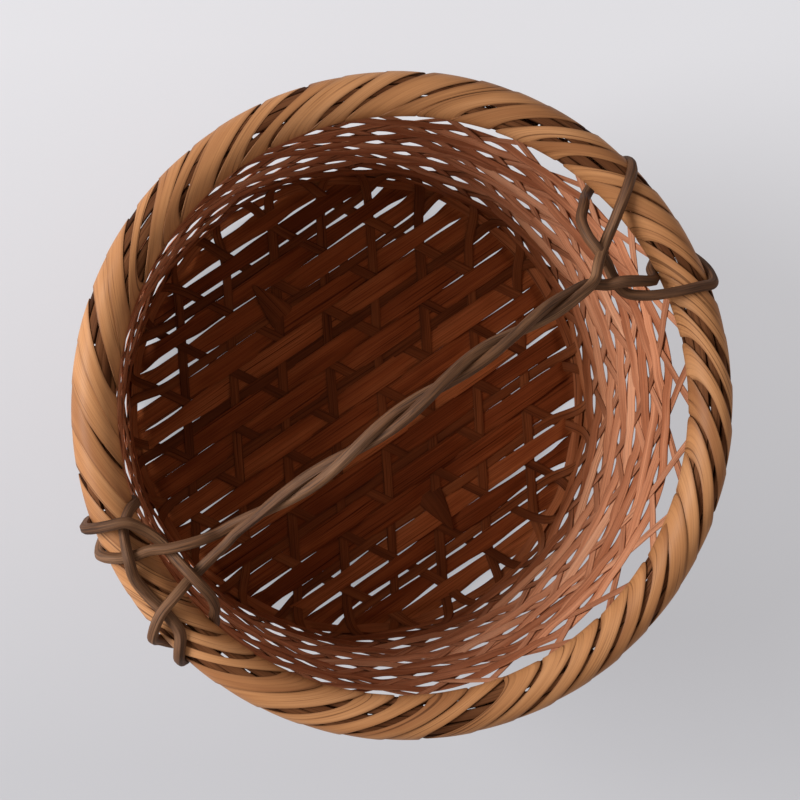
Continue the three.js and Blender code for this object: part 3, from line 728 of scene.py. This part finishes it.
def lay_slat(name, row, side):
    """One slat beside a line of crossings, on one side of it."""
    y = row * PITCH + side * (CLEARANCE + SLAT_WIDTH / 2)
    shift = 0.5 if row % 2 == 0 else 0.0
    flats = []
    for column in range(-STAKES_PER_FAMILY, STAKES_PER_FAMILY + 1):
        middle = (column + shift) * 2 * CROSSING_STEP
        height = side * SLAT_LIFT * (1 if column % 2 == 0 else -1)
        if math.hypot(middle, y) < LAST_CROSSING:
            flats.append((middle - SLAT_FLAT, middle + SLAT_FLAT, height))
    lanes = np.linspace(-0.5, 0.5, SLAT_LANES)
    ends = np.sqrt(SLAT_END_REACH**2 - (y + lanes * SLAT_WIDTH) ** 2)
    count = round(2 * ends.max() / STEP)
    x = np.linspace(-1, 1, count)[:, None] * ends[None]
    out = np.hypot(x[:, SLAT_LANES // 2], y)
    spread = ease(out, SLITS_START, SLITS_OPEN)
    spread = spread * (1 - SLITS_CLOSING * ease(out, SLITS_NARROW, SLITS_END))
    narrowing = SLAT_GAP * (GAP_MEAN + wander(count, knots=9, size=GAP_DRIFT))
    narrowing = np.clip(narrowing, 0.0, GAP_MOST * SLAT_GAP)
    width = SLAT_WIDTH * (SLAT_FULLNESS - SLAT_SLIMMING * spread) - narrowing * spread
    width = width + wander(count, knots=7, size=SLAT_UNEVENNESS)
    reach = lanes[None] * width[:, None]
    beside = y + wander(count, knots=5, size=SLAT_SWAY)[:, None] + reach
    points, normals = place(np.arctan2(beside, x), np.hypot(x, beside))
    lift = eased(x, flats) + SLAT_CROWN * (1 - 4 * lanes**2)
    tuck = ease(np.hypot(x, beside), TUCK_START, TUCK_END)
    lift = lift * (1 - tuck) + SLAT_TUCK * tuck
    return lay_sheet(name, points + normals * lift[..., None], reach, SLAT_THICKNESS)


slats = []
for row in range(-HALF_FAMILY, HALF_FAMILY + 1):
    for side in (-1, 1):
        if row * side == HALF_FAMILY:
            number = 1 if side < 0 else 2
            dress(lay_slat(f"edge_slat_{number}", row, side), slat_finish, "floor_slats")
            continue
        node = f"floor_slat_{len(slats) + 1:02d}"
        piece = lay_slat(f"woven_{node}", row, side)
        dress(piece, slat_finish, "floor_slats", node)
        slats.append(piece)
print("slats:", len(slats))

# %% [markdown]
# A brace strip passes under the middle of the floor, across the slats. Only its two pointed ends show,
# where they come up through the weave and lie on a slat. They have no solids of their own.

# %% Tuck in the brace ends
BRACE_STATIONS = 14
BRACE_LIFTS = ((0, -0.25), (0.2, 0.8), (0.45, 1.2), (0.8, 1.15), (1, 0.7))
BRACE_SIDES = ((-5.6, 47.6, -9.0, 66.2), (3.8, -46.9, 4.3, -65.8))  # base and tip in the floor
BRACE_WIDTH = 11.0
BRACE_TIP_WIDTH = 1.2
BRACE_TAPER = 1.3
BRACE_THICKNESS = 0.4
BRACE_CROWN = 0.15


def lay_brace_end(name, base_x, base_y, tip_x, tip_y):
    """A pointed strip that rises out of the floor and lies on it."""
    share = np.linspace(0, 1, BRACE_STATIONS)
    x = base_x + share * (tip_x - base_x)
    y = base_y + share * (tip_y - base_y)
    points, normals = place(np.arctan2(y, x), np.hypot(x, y))
    lifts = soften(np.interp(share, *np.transpose(BRACE_LIFTS)), LIFT_PASSES)
    points = points + normals * lifts[:, None]
    width = BRACE_WIDTH * (1 - share**BRACE_TAPER) + BRACE_TIP_WIDTH
    return lay_strip(name, points, normals, width, BRACE_THICKNESS, crown=BRACE_CROWN)


for number, ends in enumerate(BRACE_SIDES, 1):
    dress(lay_brace_end(f"brace_end_{number}", *ends), stake_finish, "floor_slats")
print("brace ends:", len(BRACE_SIDES))

# %% [markdown]
# ## Weavers
#
# Ring weavers fill the wall, the lowest two on the fold and the others in pairs below and above each row
# of crossings. A weaver goes inside the arms of one crossing and outside the arms of the next. Its edges
# overlap the neighbours between the crossings. Beside the crossings they only just meet them, and the
# weavers are lifted apart, so small slits of many sizes stay open there. The lowest one has no solid.

# %% Lay the weavers
WEAVER_OVERLAP = 0.7  # how far an edge passes the line between two weavers
SLIT_DEPTH = -0.1  # how far an edge draws back beside a crossing, below 0 where it passes its line
SLIT_DRIFT = 0.4
FACE_EDGE = (0.44, 0.16)  # columns from a crossing where the edge starts to draw back and is back
BACK_EDGE = (0.22, 0.06)  # the same for the other edge, from an arm
ARM_PLACE = 0.25  # columns from a crossing to its arms, half a row away
LIFT_DRIFT = 0.34
LIFT_LIMITS = (-0.5, 0.3)
RING_KNOTS = 24
FINE_KNOTS = 48
RING_PASSES = 4
WEAVER_LANES = 5
WEAVER_SWELL = 0.24  # four times the height of a weaver's crown
FOLD_WEAVER_WIDTH = 5.2
FOLD_WEAVER_LIFT = 0.6
FOLD_WEAVER_SWAY = 0.3
FOLD_WEAVER_UNEVENNESS = 0.15
FOLD_OVERLAP = 0.3
FOLD_WEAVER_REACH = row_reach(0.5) - FOLD_WEAVER_WIDTH / 2
EDGE_WEAVER_REACH = FOLD_WEAVER_REACH - FOLD_WEAVER_WIDTH + FOLD_OVERLAP


def ring_angles(reach):
    """Even stations round the basket."""
    radius = np.linalg.norm(place(0.0, reach)[0][:2])
    count = round(2 * math.pi * radius / STEP)
    return np.arange(count) / count * 2 * math.pi


def ring_drift(count, size, knots=RING_KNOTS):
    """A slow random drift round a ring, which ends as it starts."""
    drift = rng.normal(0, size, knots)
    places = np.arange(count) / count * knots
    drift = np.interp(places, np.arange(knots + 1), np.append(drift, drift[0]))
    return soften(drift, RING_PASSES, closed=True)


def weaver_lifts(angles, row, side, lift):
    """Lifts that go inside one crossing of a row and outside the next."""
    flats = []
    for column in range(-2, COLUMNS + 2):
        middle = crossing_angle(column, row)
        height = lift * side * (1 if column % 2 == 0 else -1)
        flats.append((middle - COLUMN / 4, middle + COLUMN / 4, height))
    return eased(angles, flats)


def edge_overlap(nearness):
    """How far an edge passes its line, where nearness to a crossing is a share."""
    drift = ring_drift(len(nearness), SLIT_DRIFT, FINE_KNOTS)
    recess = np.maximum(SLIT_DEPTH + drift, -WEAVER_OVERLAP)
    return WEAVER_OVERLAP - (WEAVER_OVERLAP + recess) * nearness


def lay_ring(name, angles, low, high, lifts):
    """A closed strip between two reaches."""
    lanes = np.linspace(0, 1, WEAVER_LANES)
    reach = low[:, None] + (high - low)[:, None] * lanes[None]
    points, normals = place(np.broadcast_to(angles[:, None], reach.shape), reach)
    lift = lifts[:, None] + WEAVER_SWELL * (lanes * (1 - lanes))[None]
    sheet = points + normals * lift[..., None]
    sheet = np.concatenate([sheet, sheet[:1]])
    reach = np.concatenate([reach, reach[:1]])
    return lay_sheet(name, sheet, reach, WEAVER_THICKNESS, closed=True)


def lay_fold_weaver(name, side, reach):
    """A weaver of even width on the fold."""
    angles = crossing_angle(-1, 0) + ring_angles(reach)
    lifts = weaver_lifts(angles, 0, side, FOLD_WEAVER_LIFT)
    middle = reach + ring_drift(len(angles), FOLD_WEAVER_SWAY, FINE_KNOTS)
    half = FOLD_WEAVER_WIDTH / 2 + ring_drift(len(angles), FOLD_WEAVER_UNEVENNESS, FINE_KNOTS)
    return lay_ring(name, angles, middle - half, middle + half, lifts)


def lay_weaver(name, row, side):
    """A weaver that lies below or above a row of crossings."""
    line = row_reach(row)
    angles = crossing_angle(-1, row) + ring_angles(line)
    lifts = weaver_lifts(angles, row, side, WEAVER_LIFT)
    lifts = lifts * (1 + np.clip(ring_drift(len(angles), LIFT_DRIFT, FINE_KNOTS), *LIFT_LIMITS))
    spot = angles / COLUMN - 0.5 - row / 2
    from_crossing = np.abs(spot - np.rint(spot))
    face = line - side * edge_overlap(ease(from_crossing, *FACE_EDGE))
    back = np.full_like(angles, line + side * ROW / 2)
    if side * row < WALL_ROWS - 1:
        from_arm = np.abs(from_crossing - ARM_PLACE)
        back = back + side * edge_overlap(ease(from_arm, *BACK_EDGE))
    return lay_ring(name, angles, np.minimum(face, back), np.maximum(face, back), lifts)


dress(lay_fold_weaver("edge_weaver", -1, EDGE_WEAVER_REACH), weaver_finish, "weavers")
weavers = [lay_fold_weaver("split_weaver_01", 1, FOLD_WEAVER_REACH)]
for row in range(1, WALL_ROWS):
    for side in (-1, 1):
        weavers.append(lay_weaver(f"split_weaver_{len(weavers) + 1:02d}", row, side))
for piece in weavers:
    dress(piece, weaver_finish, "weavers", piece.name.removeprefix("split_"))
print("weavers:", len(weavers))

# %% [markdown]
# ## Rim splints
#
# Inside the winding, the real rim is a bundle of thin splints that hold the stake ends. They show as
# dark ridges where the winding parts. Each splint is a strip round the rim, on a circle about the rim's
# own axis, and none lies below, where the stakes come in.

# %% Bundle the splints
SPLINT_CIRCLE = 6.9
SPLINT_WIDTH = 3.7
SPLINT_THICKNESS = 1.2
SPLINT_STATIONS = 300
SPLINT_SWAY = 0.05  # radians round the rim's axis
SPLINT_DRIFT = 0.15
SPLINT_CROWN = 0.25


def rim_place(angle, section, distance):
    """Places about the rim's axis: round the basket, round the rim from its inner side over the top."""
    lift = distance * np.cos(section)
    points, normals = place(angle, RIM_REACH + distance * np.sin(section))
    axis, _ = place(angle, np.full_like(np.asarray(angle, float), RIM_REACH))
    points = points + normals * np.asarray(lift)[..., None]
    return points, unit(points - axis)


def splint_bundle(name, sections, *solids):
    """Splints at these degrees round the rim's axis, joined into one piece."""
    strips = []
    for section in sections:
        angles = np.arange(SPLINT_STATIONS) / SPLINT_STATIONS * 2 * math.pi
        sway = math.radians(section) + ring_drift(SPLINT_STATIONS, SPLINT_SWAY)
        distance = SPLINT_CIRCLE + ring_drift(SPLINT_STATIONS, SPLINT_DRIFT)
        points, normals = rim_place(angles, sway, distance)
        strip = lay_strip(
            f"{name}_{section}", points, normals, SPLINT_WIDTH, SPLINT_THICKNESS,
            closed=True, cells=2, crown=SPLINT_CROWN,
        )
        strips.append(strip)
    bpy.ops.object.select_all(action="DESELECT")
    for strip in strips:
        strip.select_set(True)
    bpy.context.view_layer.objects.active = strips[0]
    bpy.ops.object.join()
    bundle = bpy.context.object
    bundle.name = name
    bundle.data.name = name
    dress(bundle, splint_finish, "rim_hoops", *solids)


splint_bundle("rim_splints_inner", (-50, -16, 18, 52), "rim_hoop_inner")
splint_bundle("rim_splints_top", (86, 120), "rim_core")
splint_bundle("rim_splints_outer", (154, 188, 222), "rim_hoop_outer")
print("splints laid on a circle of", SPLINT_CIRCLE, "mm")

# %% [markdown]
# ## Rim winding
#
# Two long strips of bamboo skin are wound round the bundle, one lap of each in every gap between stakes.
# A lap climbs the inside, slants over the top and goes down outside. The laps lie unevenly: some
# overlap like shingles and others leave a dark wedge between them.

# %% Wind the rim
LAP_STATIONS = 72
LAP_CIRCLE = 8.1
LAP_WIDTH = 8.2
LAP_THICKNESS = 0.45
LAP_TILT = 0.32  # how far one edge of a lap lifts and the other sinks
LAP_TILTS = (0.8, 1.2)  # least and most of that, as shares
LAP_STRAY = math.radians(0.9)  # how far a lap strays round the rim
LAP_TWIST = math.radians(0.7)  # how far its inner and outer ends stray apart
LAP_WIDTHS = (-0.6, 0.12)  # what the narrowest lap loses and the widest gains, as shares
LAP_LANES = 7
LAP_CROWN = 0.05
LAP_DRIFT = 0.06
LAP_BEVEL = 0.13
LAP_PASSES = 10
TILT_PASSES = 8
TONE_PASSES = 30
LAP_GRAIN = (700, 40)  # from one strip's grain to the other's, along and across
LAP_SECTIONS = np.radians((-60, -25, 0, 30, 60, 90, 120, 150, 180, 205, 240, 300))
LAP_ADVANCE = (0, -0.06, -0.1, -0.02, 0.2, 0.5, 0.8, 1.02, 1.1, 1.06, 1, 1)
LAP_EVENNESS = (0, 0.4, 0.6, 0.8, 0.95, 1, 0.95, 0.8, 0.6, 0.4, 0, 0)
LAP_LOOSENESS = (0.1, 0.2, 0.35, 0.7, 1, 1, 1, 0.7, 0.35, 0.2, 0.1, 0.1)
LAP_SPREAD = (1, 1.7, 2.2, 2.05, 1.95, 1.95, 1.95, 2.05, 2.2, 1.7, 1, 1)  # a slanting strip's span
SLOT_PITCH = 8.8  # between the two strips under the rim
SLOT_RADIUS = 114.5  # of the wall there
SLOT_CLOSE = SLOT_PITCH / SLOT_RADIUS


def wind_strip(slot):
    """One of the two long strips, with a lap in every gap between stakes."""
    section = np.linspace(-SIXTY, 5 * SIXTY, LAP_STATIONS, endpoint=False)
    advance = np.interp(section, LAP_SECTIONS, LAP_ADVANCE)
    even = np.interp(section, LAP_SECTIONS, LAP_EVENNESS)
    loose = np.interp(section, LAP_SECTIONS, LAP_LOOSENESS)
    spread = np.interp(section, LAP_SECTIONS, LAP_SPREAD)
    slot_turn = (slot - 0.5) * (SLOT_CLOSE * (1 - even) + COLUMN / 2 * even)
    turns, widths, spans, sections, slants, tones = [], [], [], [], [], []
    for lap in range(COLUMNS, 0, -1):
        stray = rng.normal(0, LAP_STRAY) + rng.normal(0, LAP_TWIST) * np.cos(section)
        turns.append(crossing_angle(lap - advance, WALL_ROWS) + slot_turn + stray * loose)
        widths.append(LAP_WIDTH * (1 + loose * rng.uniform(*LAP_WIDTHS)))
        spans.append(widths[-1] * spread)
        sections.append(section + len(sections) * 2 * math.pi)
        slants.append(loose * LAP_TILT * rng.uniform(*LAP_TILTS))
        tones.append(np.full(LAP_STATIONS, rng.normal(0, 1)))
    turns = soften(np.concatenate(turns), LAP_PASSES)
    widths = soften(np.concatenate(widths), LAP_PASSES)
    spans = soften(np.concatenate(spans), LAP_PASSES)
    slants = soften(np.concatenate(slants), TILT_PASSES)
    tones = soften(np.concatenate(tones), TONE_PASSES)
    sections = np.concatenate(sections)
    lanes = np.linspace(-0.5, 0.5, LAP_LANES)
    middle, _ = rim_place(turns, sections, LAP_CIRCLE)
    local = np.linalg.norm(middle[:, :2], axis=1)
    angle = turns[:, None] + lanes[None] * (spans / local)[:, None]
    crown = LAP_CROWN * (1 - 4 * lanes**2)
    distance = LAP_CIRCLE + 2 * slants[:, None] * lanes[None] + crown[None]
    distance = distance + ring_drift(len(turns), LAP_DRIFT)[:, None]
    sheet, _ = rim_place(angle, np.broadcast_to(sections[:, None], angle.shape), distance)
    steps = np.linalg.norm(np.diff(middle, axis=0), axis=1)
    along = np.append(0, np.cumsum(steps)) + LAP_GRAIN[0] * slot
    across = widths[:, None] * lanes[None] + LAP_GRAIN[1] * slot
    uv = np.stack([np.broadcast_to(along[:, None], angle.shape), across], -1)
    edge = np.broadcast_to(np.abs(2 * lanes), angle.shape)
    winding = lay_grid(f"rim_winding_{slot + 1}", sheet, uv, tones, edge)
    round_off(winding, LAP_THICKNESS, LAP_BEVEL)
    dress(winding, binding_finish, "rim_binding", f"rim_binding_{slot + 1}")
    return winding


windings = [wind_strip(slot) for slot in (0, 1)]
print("winding faces:", [len(w.data.polygons) for w in windings])

# %% [markdown]
# ## The vine
#
# One peeled vine makes the handle. It starts in the left knot, runs along the handle, is tied round the
# rim on the right, comes back twisted about itself and is tied off on the left. Its route follows the
# solid's within a few millimetres. The bark left lengthwise ridges, so the tube is not round: its ridges
# turn slowly along it.

# %% Trace the vine's route
VINE_RADIUS = 2.05
VINE_SEAT = 10.0
HANDLE_RISE = 47.0
HANDLE_FOOT_RISE = 17.0
HANDLE_HALF_SPAN = 80.0
HANDLE_STATIONS = 16
STRAND_OFFSET = 1.95
HANDLE_BOW = 3.9  # how far the handle bows to its side
BOW_PLACE = 0.25  # where it bows most, as a share of the half span
BOW_LENGTH = 0.62
TWIST_LAG = 0.45  # radians that the twist falls behind in each half span towards the left
CURVE_CUTS = 40
VINE_STEP = 1.1
AXIS_LEVEL = FLOOR_LEVEL + RIM_RISE


def beside_rim(around, over, seats=1.0):
    """A place that many degrees round the basket and over the rim, on the rim or off it."""
    points, _ = rim_place(math.radians(around), math.radians(over), seats * VINE_SEAT)
    return points


def left_knot(inwards, sideways, above):
    """A place measured from the rim's axis at the left end of the handle."""
    return np.array((inwards - RIM_RADIUS, sideways, AXIS_LEVEL + above))


def right_knot(inwards, sideways, above):
    """The same at the right end."""
    return np.array((RIM_RADIUS - inwards, sideways, AXIS_LEVEL + above))


def strand(side):
    """Knots of one of the two twisted strands, from left to right."""
    share = np.linspace(-1, 1, HANDLE_STATIONS + 1)
    twist = share * 2 * math.pi - TWIST_LAG * (1 - share)
    drop = HANDLE_RISE - HANDLE_FOOT_RISE
    slope = -2 * drop * share / HANDLE_HALF_SPAN
    upright = unit(np.stack([-slope, np.zeros_like(slope), np.ones_like(slope)], -1))
    height = AXIS_LEVEL + HANDLE_RISE - drop * share**2
    bow = HANDLE_BOW * np.exp(-(((share - BOW_PLACE) / BOW_LENGTH) ** 2))
    sideways = bow + side * STRAND_OFFSET * np.sin(twist)
    points = np.stack([share * HANDLE_HALF_SPAN, sideways, height], -1)
    return list(points + upright * (side * STRAND_OFFSET * np.cos(twist))[:, None])


left_loop = [
    beside_rim(165.6, 205), beside_rim(166, 185), beside_rim(166.6, 140, 1.3),
    beside_rim(167.2, 95, 1.5), left_knot(5.2, 24, 16.4), left_knot(9.4, 17.5, 12.8),
    left_knot(12, 10, 10.6), left_knot(12.8, 3, 11.4), left_knot(13.6, -3.5, 15.6),
    left_knot(14.6, -9.8, 16.2), left_knot(15.4, -15.5, 13.5), left_knot(14.8, -20.5, 8.5),
    beside_rim(192.6, 5, 1.1), beside_rim(194.4, 315), beside_rim(195, 270),
    beside_rim(192.4, 228), beside_rim(189, 180), beside_rim(187.4, 135, 1.35),
    beside_rim(185.2, 96, 1.36), left_knot(6.5, -8, 13.4), left_knot(13, -6.4, 11.4),
    left_knot(20, -4.9, 11.6), left_knot(25.5, -3.8, 13.2), left_knot(30.5, -2.8, 16),
]
right_loop = [
    right_knot(30.5, 4.4, 17), right_knot(25, 7.8, 12.6), right_knot(19.6, 10.8, 9.6),
    right_knot(13, 15, 9.4), beside_rim(11.4, 88, 0.92), beside_rim(12.6, 130, 0.88),
    beside_rim(13.6, 175, 0.85), beside_rim(14.4, 220), beside_rim(15, 260, 1.45),
    beside_rim(14.6, 300, 1.5), right_knot(18.5, 25.2, 1.5), right_knot(23.6, 21.4, 6.5),
    right_knot(26, 15.4, 11.4), right_knot(26, 10.4, 12.8), right_knot(25.6, 4.4, 12.4),
    right_knot(26, -2.6, 9.6), right_knot(25.4, -9.8, 8.4), right_knot(18.4, -16.2, 9.8),
    beside_rim(-11.8, 90, 0.94), beside_rim(-12.2, 135), beside_rim(-9.6, 180),
    beside_rim(-5.4, 225), beside_rim(-4, 268), beside_rim(-5.2, 315),
    beside_rim(-7, 350, 1.02), right_knot(14.4, -12.2, 7.4), right_knot(20, -8.8, 12.8),
    right_knot(25.6, -5.6, 15.4), right_knot(30.5, -3.6, 14.6),
]
left_tie = [
    left_knot(30.5, 2, 14.4), left_knot(25, 3.3, 16.2), left_knot(19.6, 4.9, 16.6),
    left_knot(13, 7.4, 15.4), left_knot(7, 10.5, 12.8), beside_rim(173.8, 95, 0.94),
    beside_rim(172.4, 140), beside_rim(171.2, 185), beside_rim(169, 230),
    beside_rim(165, 272), beside_rim(164.8, 315, 0.9), beside_rim(165.4, 5, 0.88),
    beside_rim(166.2, 45, 0.9), beside_rim(168.4, 72, 0.92), beside_rim(171.2, 84, 1.2),
    beside_rim(174, 90, 1.4), beside_rim(177.4, 100, 1.14), beside_rim(181.5, 100, 0.92),
    beside_rim(186.2, 92, 0.92), beside_rim(190, 98, 0.92), beside_rim(192.6, 135),
    beside_rim(193.8, 170), beside_rim(194.8, 200),
]
vine_knots = np.array(left_loop + strand(1) + right_loop + strand(-1)[::-1] + left_tie)


def smooth_curve(knots, cuts):
    """A centripetal spline through the knots."""
    padded = np.vstack([2 * knots[0] - knots[1], knots, 2 * knots[-1] - knots[-2]])
    spans = np.sqrt(np.linalg.norm(np.diff(padded, axis=0), axis=1))
    share = (np.arange(cuts) / cuts)[:, None]
    points = []
    for index in range(1, len(padded) - 2):
        before, here, after, last = padded[index - 1 : index + 3]
        d0, d1, d2 = spans[index - 1 : index + 2]
        leave = ((here - before) / d0 - (after - before) / (d0 + d1) + (after - here) / d1) * d1
        arrive = ((after - here) / d1 - (last - here) / (d1 + d2) + (last - after) / d2) * d1
        points.append(
            (2 * share**3 - 3 * share**2 + 1) * here
            + (share**3 - 2 * share**2 + share) * leave
            + (3 * share**2 - 2 * share**3) * after
            + (share**3 - share**2) * arrive
        )
    return np.vstack(points + [knots[-1:]])


dense = smooth_curve(vine_knots, CURVE_CUTS)
length = np.append(0, np.cumsum(np.linalg.norm(np.diff(dense, axis=0), axis=1)))
vine_count = round(length[-1] / VINE_STEP)
stations = np.linspace(0, length[-1], vine_count)
vine_line = np.stack([np.interp(stations, length, dense[:, axis]) for axis in range(3)], -1)
print("vine:", round(length[-1]), "mm long,", vine_count, "stations")

# %% [markdown]
# The vine's finish is grey-brown with pale and dark fibres along it, and rougher than the bamboo.

# %% Grow the vine
VINE_SIDES = 20
VINE_COLOURS = ((0.28, (0.05, 0.019, 0.008)), (0.5, (0.105, 0.046, 0.02)), (0.74, (0.175, 0.088, 0.044)))
VINE_STREAKS = ((0.33, (0.32, 0.28, 0.26)), (0.5, (1, 1, 1)), (0.66, (1.6, 1.56, 1.5)))
VINE_CRACKS = ((0.3, (0.18, 0.14, 0.12)), (0.36, (1, 1, 1)))
VINE_STREAK = 0.9
VINE_SPLITS = 0.7
VINE_ROUGHNESS = 0.68
VINE_GLOSS = 0.3
VINE_FIBRE_RELIEF = 0.8
VINE_FIBRE_HEIGHT = 0.25 * MM
VINE_RIDGES = ((0.045, 3, 3, 0), (0.05, 5, -1.7, 1), (0.03, 8, 2.1, 0))  # height, count, turn, start
VINE_GIRTH_DRIFT = 0.1
VINE_TURN = 9  # radians from end to end
VINE_TURN_DRIFT = 0.4
VINE_END_SHARE = 0.82  # of the girth, at the cut ends
VINE_SMOOTH_ANGLE = math.radians(50)
FRAME_START = (0.3, 0.5, 0.8)  # any direction that isn't along the vine's start


def vine_material():
    """The vine's finish."""
    material, tree, body, lay = start_finish("peeled_vine")
    slow = stretched_noise(tree, lay, along=40, across=6, detail=3, shift=2.3)
    fibres = stretched_noise(tree, lay, along=18, across=0.42, detail=5, shift=9.1)
    cracks = stretched_noise(tree, lay, along=26, across=1.3, detail=2, shift=31.9)
    colour = ramp(tree, slow, VINE_COLOURS)
    colour = mix_colours(tree, "MULTIPLY", VINE_STREAK, colour, ramp(tree, fibres, VINE_STREAKS))
    colour = mix_colours(tree, "MULTIPLY", VINE_SPLITS, colour, ramp(tree, cracks, VINE_CRACKS))
    tree.links.new(colour, body.inputs["Base Color"])
    body.inputs["Roughness"].default_value = VINE_ROUGHNESS
    body.inputs["Specular IOR Level"].default_value = VINE_GLOSS
    raise_fibres(tree, body, fibres, VINE_FIBRE_RELIEF, VINE_FIBRE_HEIGHT)
    return material


def frames_along(line):
    """Two directions square to a line, carried along it without twist."""
    ahead = unit(np.gradient(line, axis=0))
    first = np.empty_like(line)
    guess = np.cross(ahead[0], FRAME_START)
    for index, way in enumerate(ahead):
        guess = guess - way * np.dot(guess, way)
        guess = guess / np.linalg.norm(guess)
        first[index] = guess
    return first, np.cross(ahead, first)


def grow_vine(line):
    """A ridged tube along a line, closed at both cut ends."""
    first, second = frames_along(line)
    count = len(line)
    turn = np.linspace(0, 2 * math.pi, VINE_SIDES + 1)
    girth = VINE_RADIUS + wander(count, knots=60, size=VINE_GIRTH_DRIFT)
    twist = np.linspace(0, VINE_TURN, count) + wander(count, knots=40, size=VINE_TURN_DRIFT)
    ridges = np.zeros((count, len(turn)))
    for depth, number, pull, start in VINE_RIDGES:
        ridges = ridges + depth * np.cos(number * turn[None] + pull * twist[:, None] + start)
    radius = girth[:, None] * (1 + ridges)
    radius[[0, -1]] = 0
    radius[[1, -2]] *= VINE_END_SHARE
    line = line.copy()
    line[1] = line[0]
    line[-2] = line[-1]
    sheet = (
        line[:, None]
        + first[:, None] * (radius * np.cos(turn))[..., None]
        + second[:, None] * (radius * np.sin(turn))[..., None]
    )
    along = np.arange(count) * VINE_STEP
    around = turn * VINE_RADIUS
    uv = np.stack(np.broadcast_arrays(along[:, None], around[None]), -1)
    vine = lay_grid("twisted_vine", sheet, uv, 0.0, np.zeros(sheet.shape[:2]), merge=True)
    face_outwards(VINE_SMOOTH_ANGLE)
    return vine


vine = grow_vine(vine_line)
dress(vine, vine_material(), "vine", "handle_vine")
print("vine faces:", len(vine.data.polygons))

# %% [markdown]
# ## Clearing the selection
#
# The finer pieces have to stay in the box of the solids.

# %% Clear the selection
bpy.ops.object.select_all(action="DESELECT")
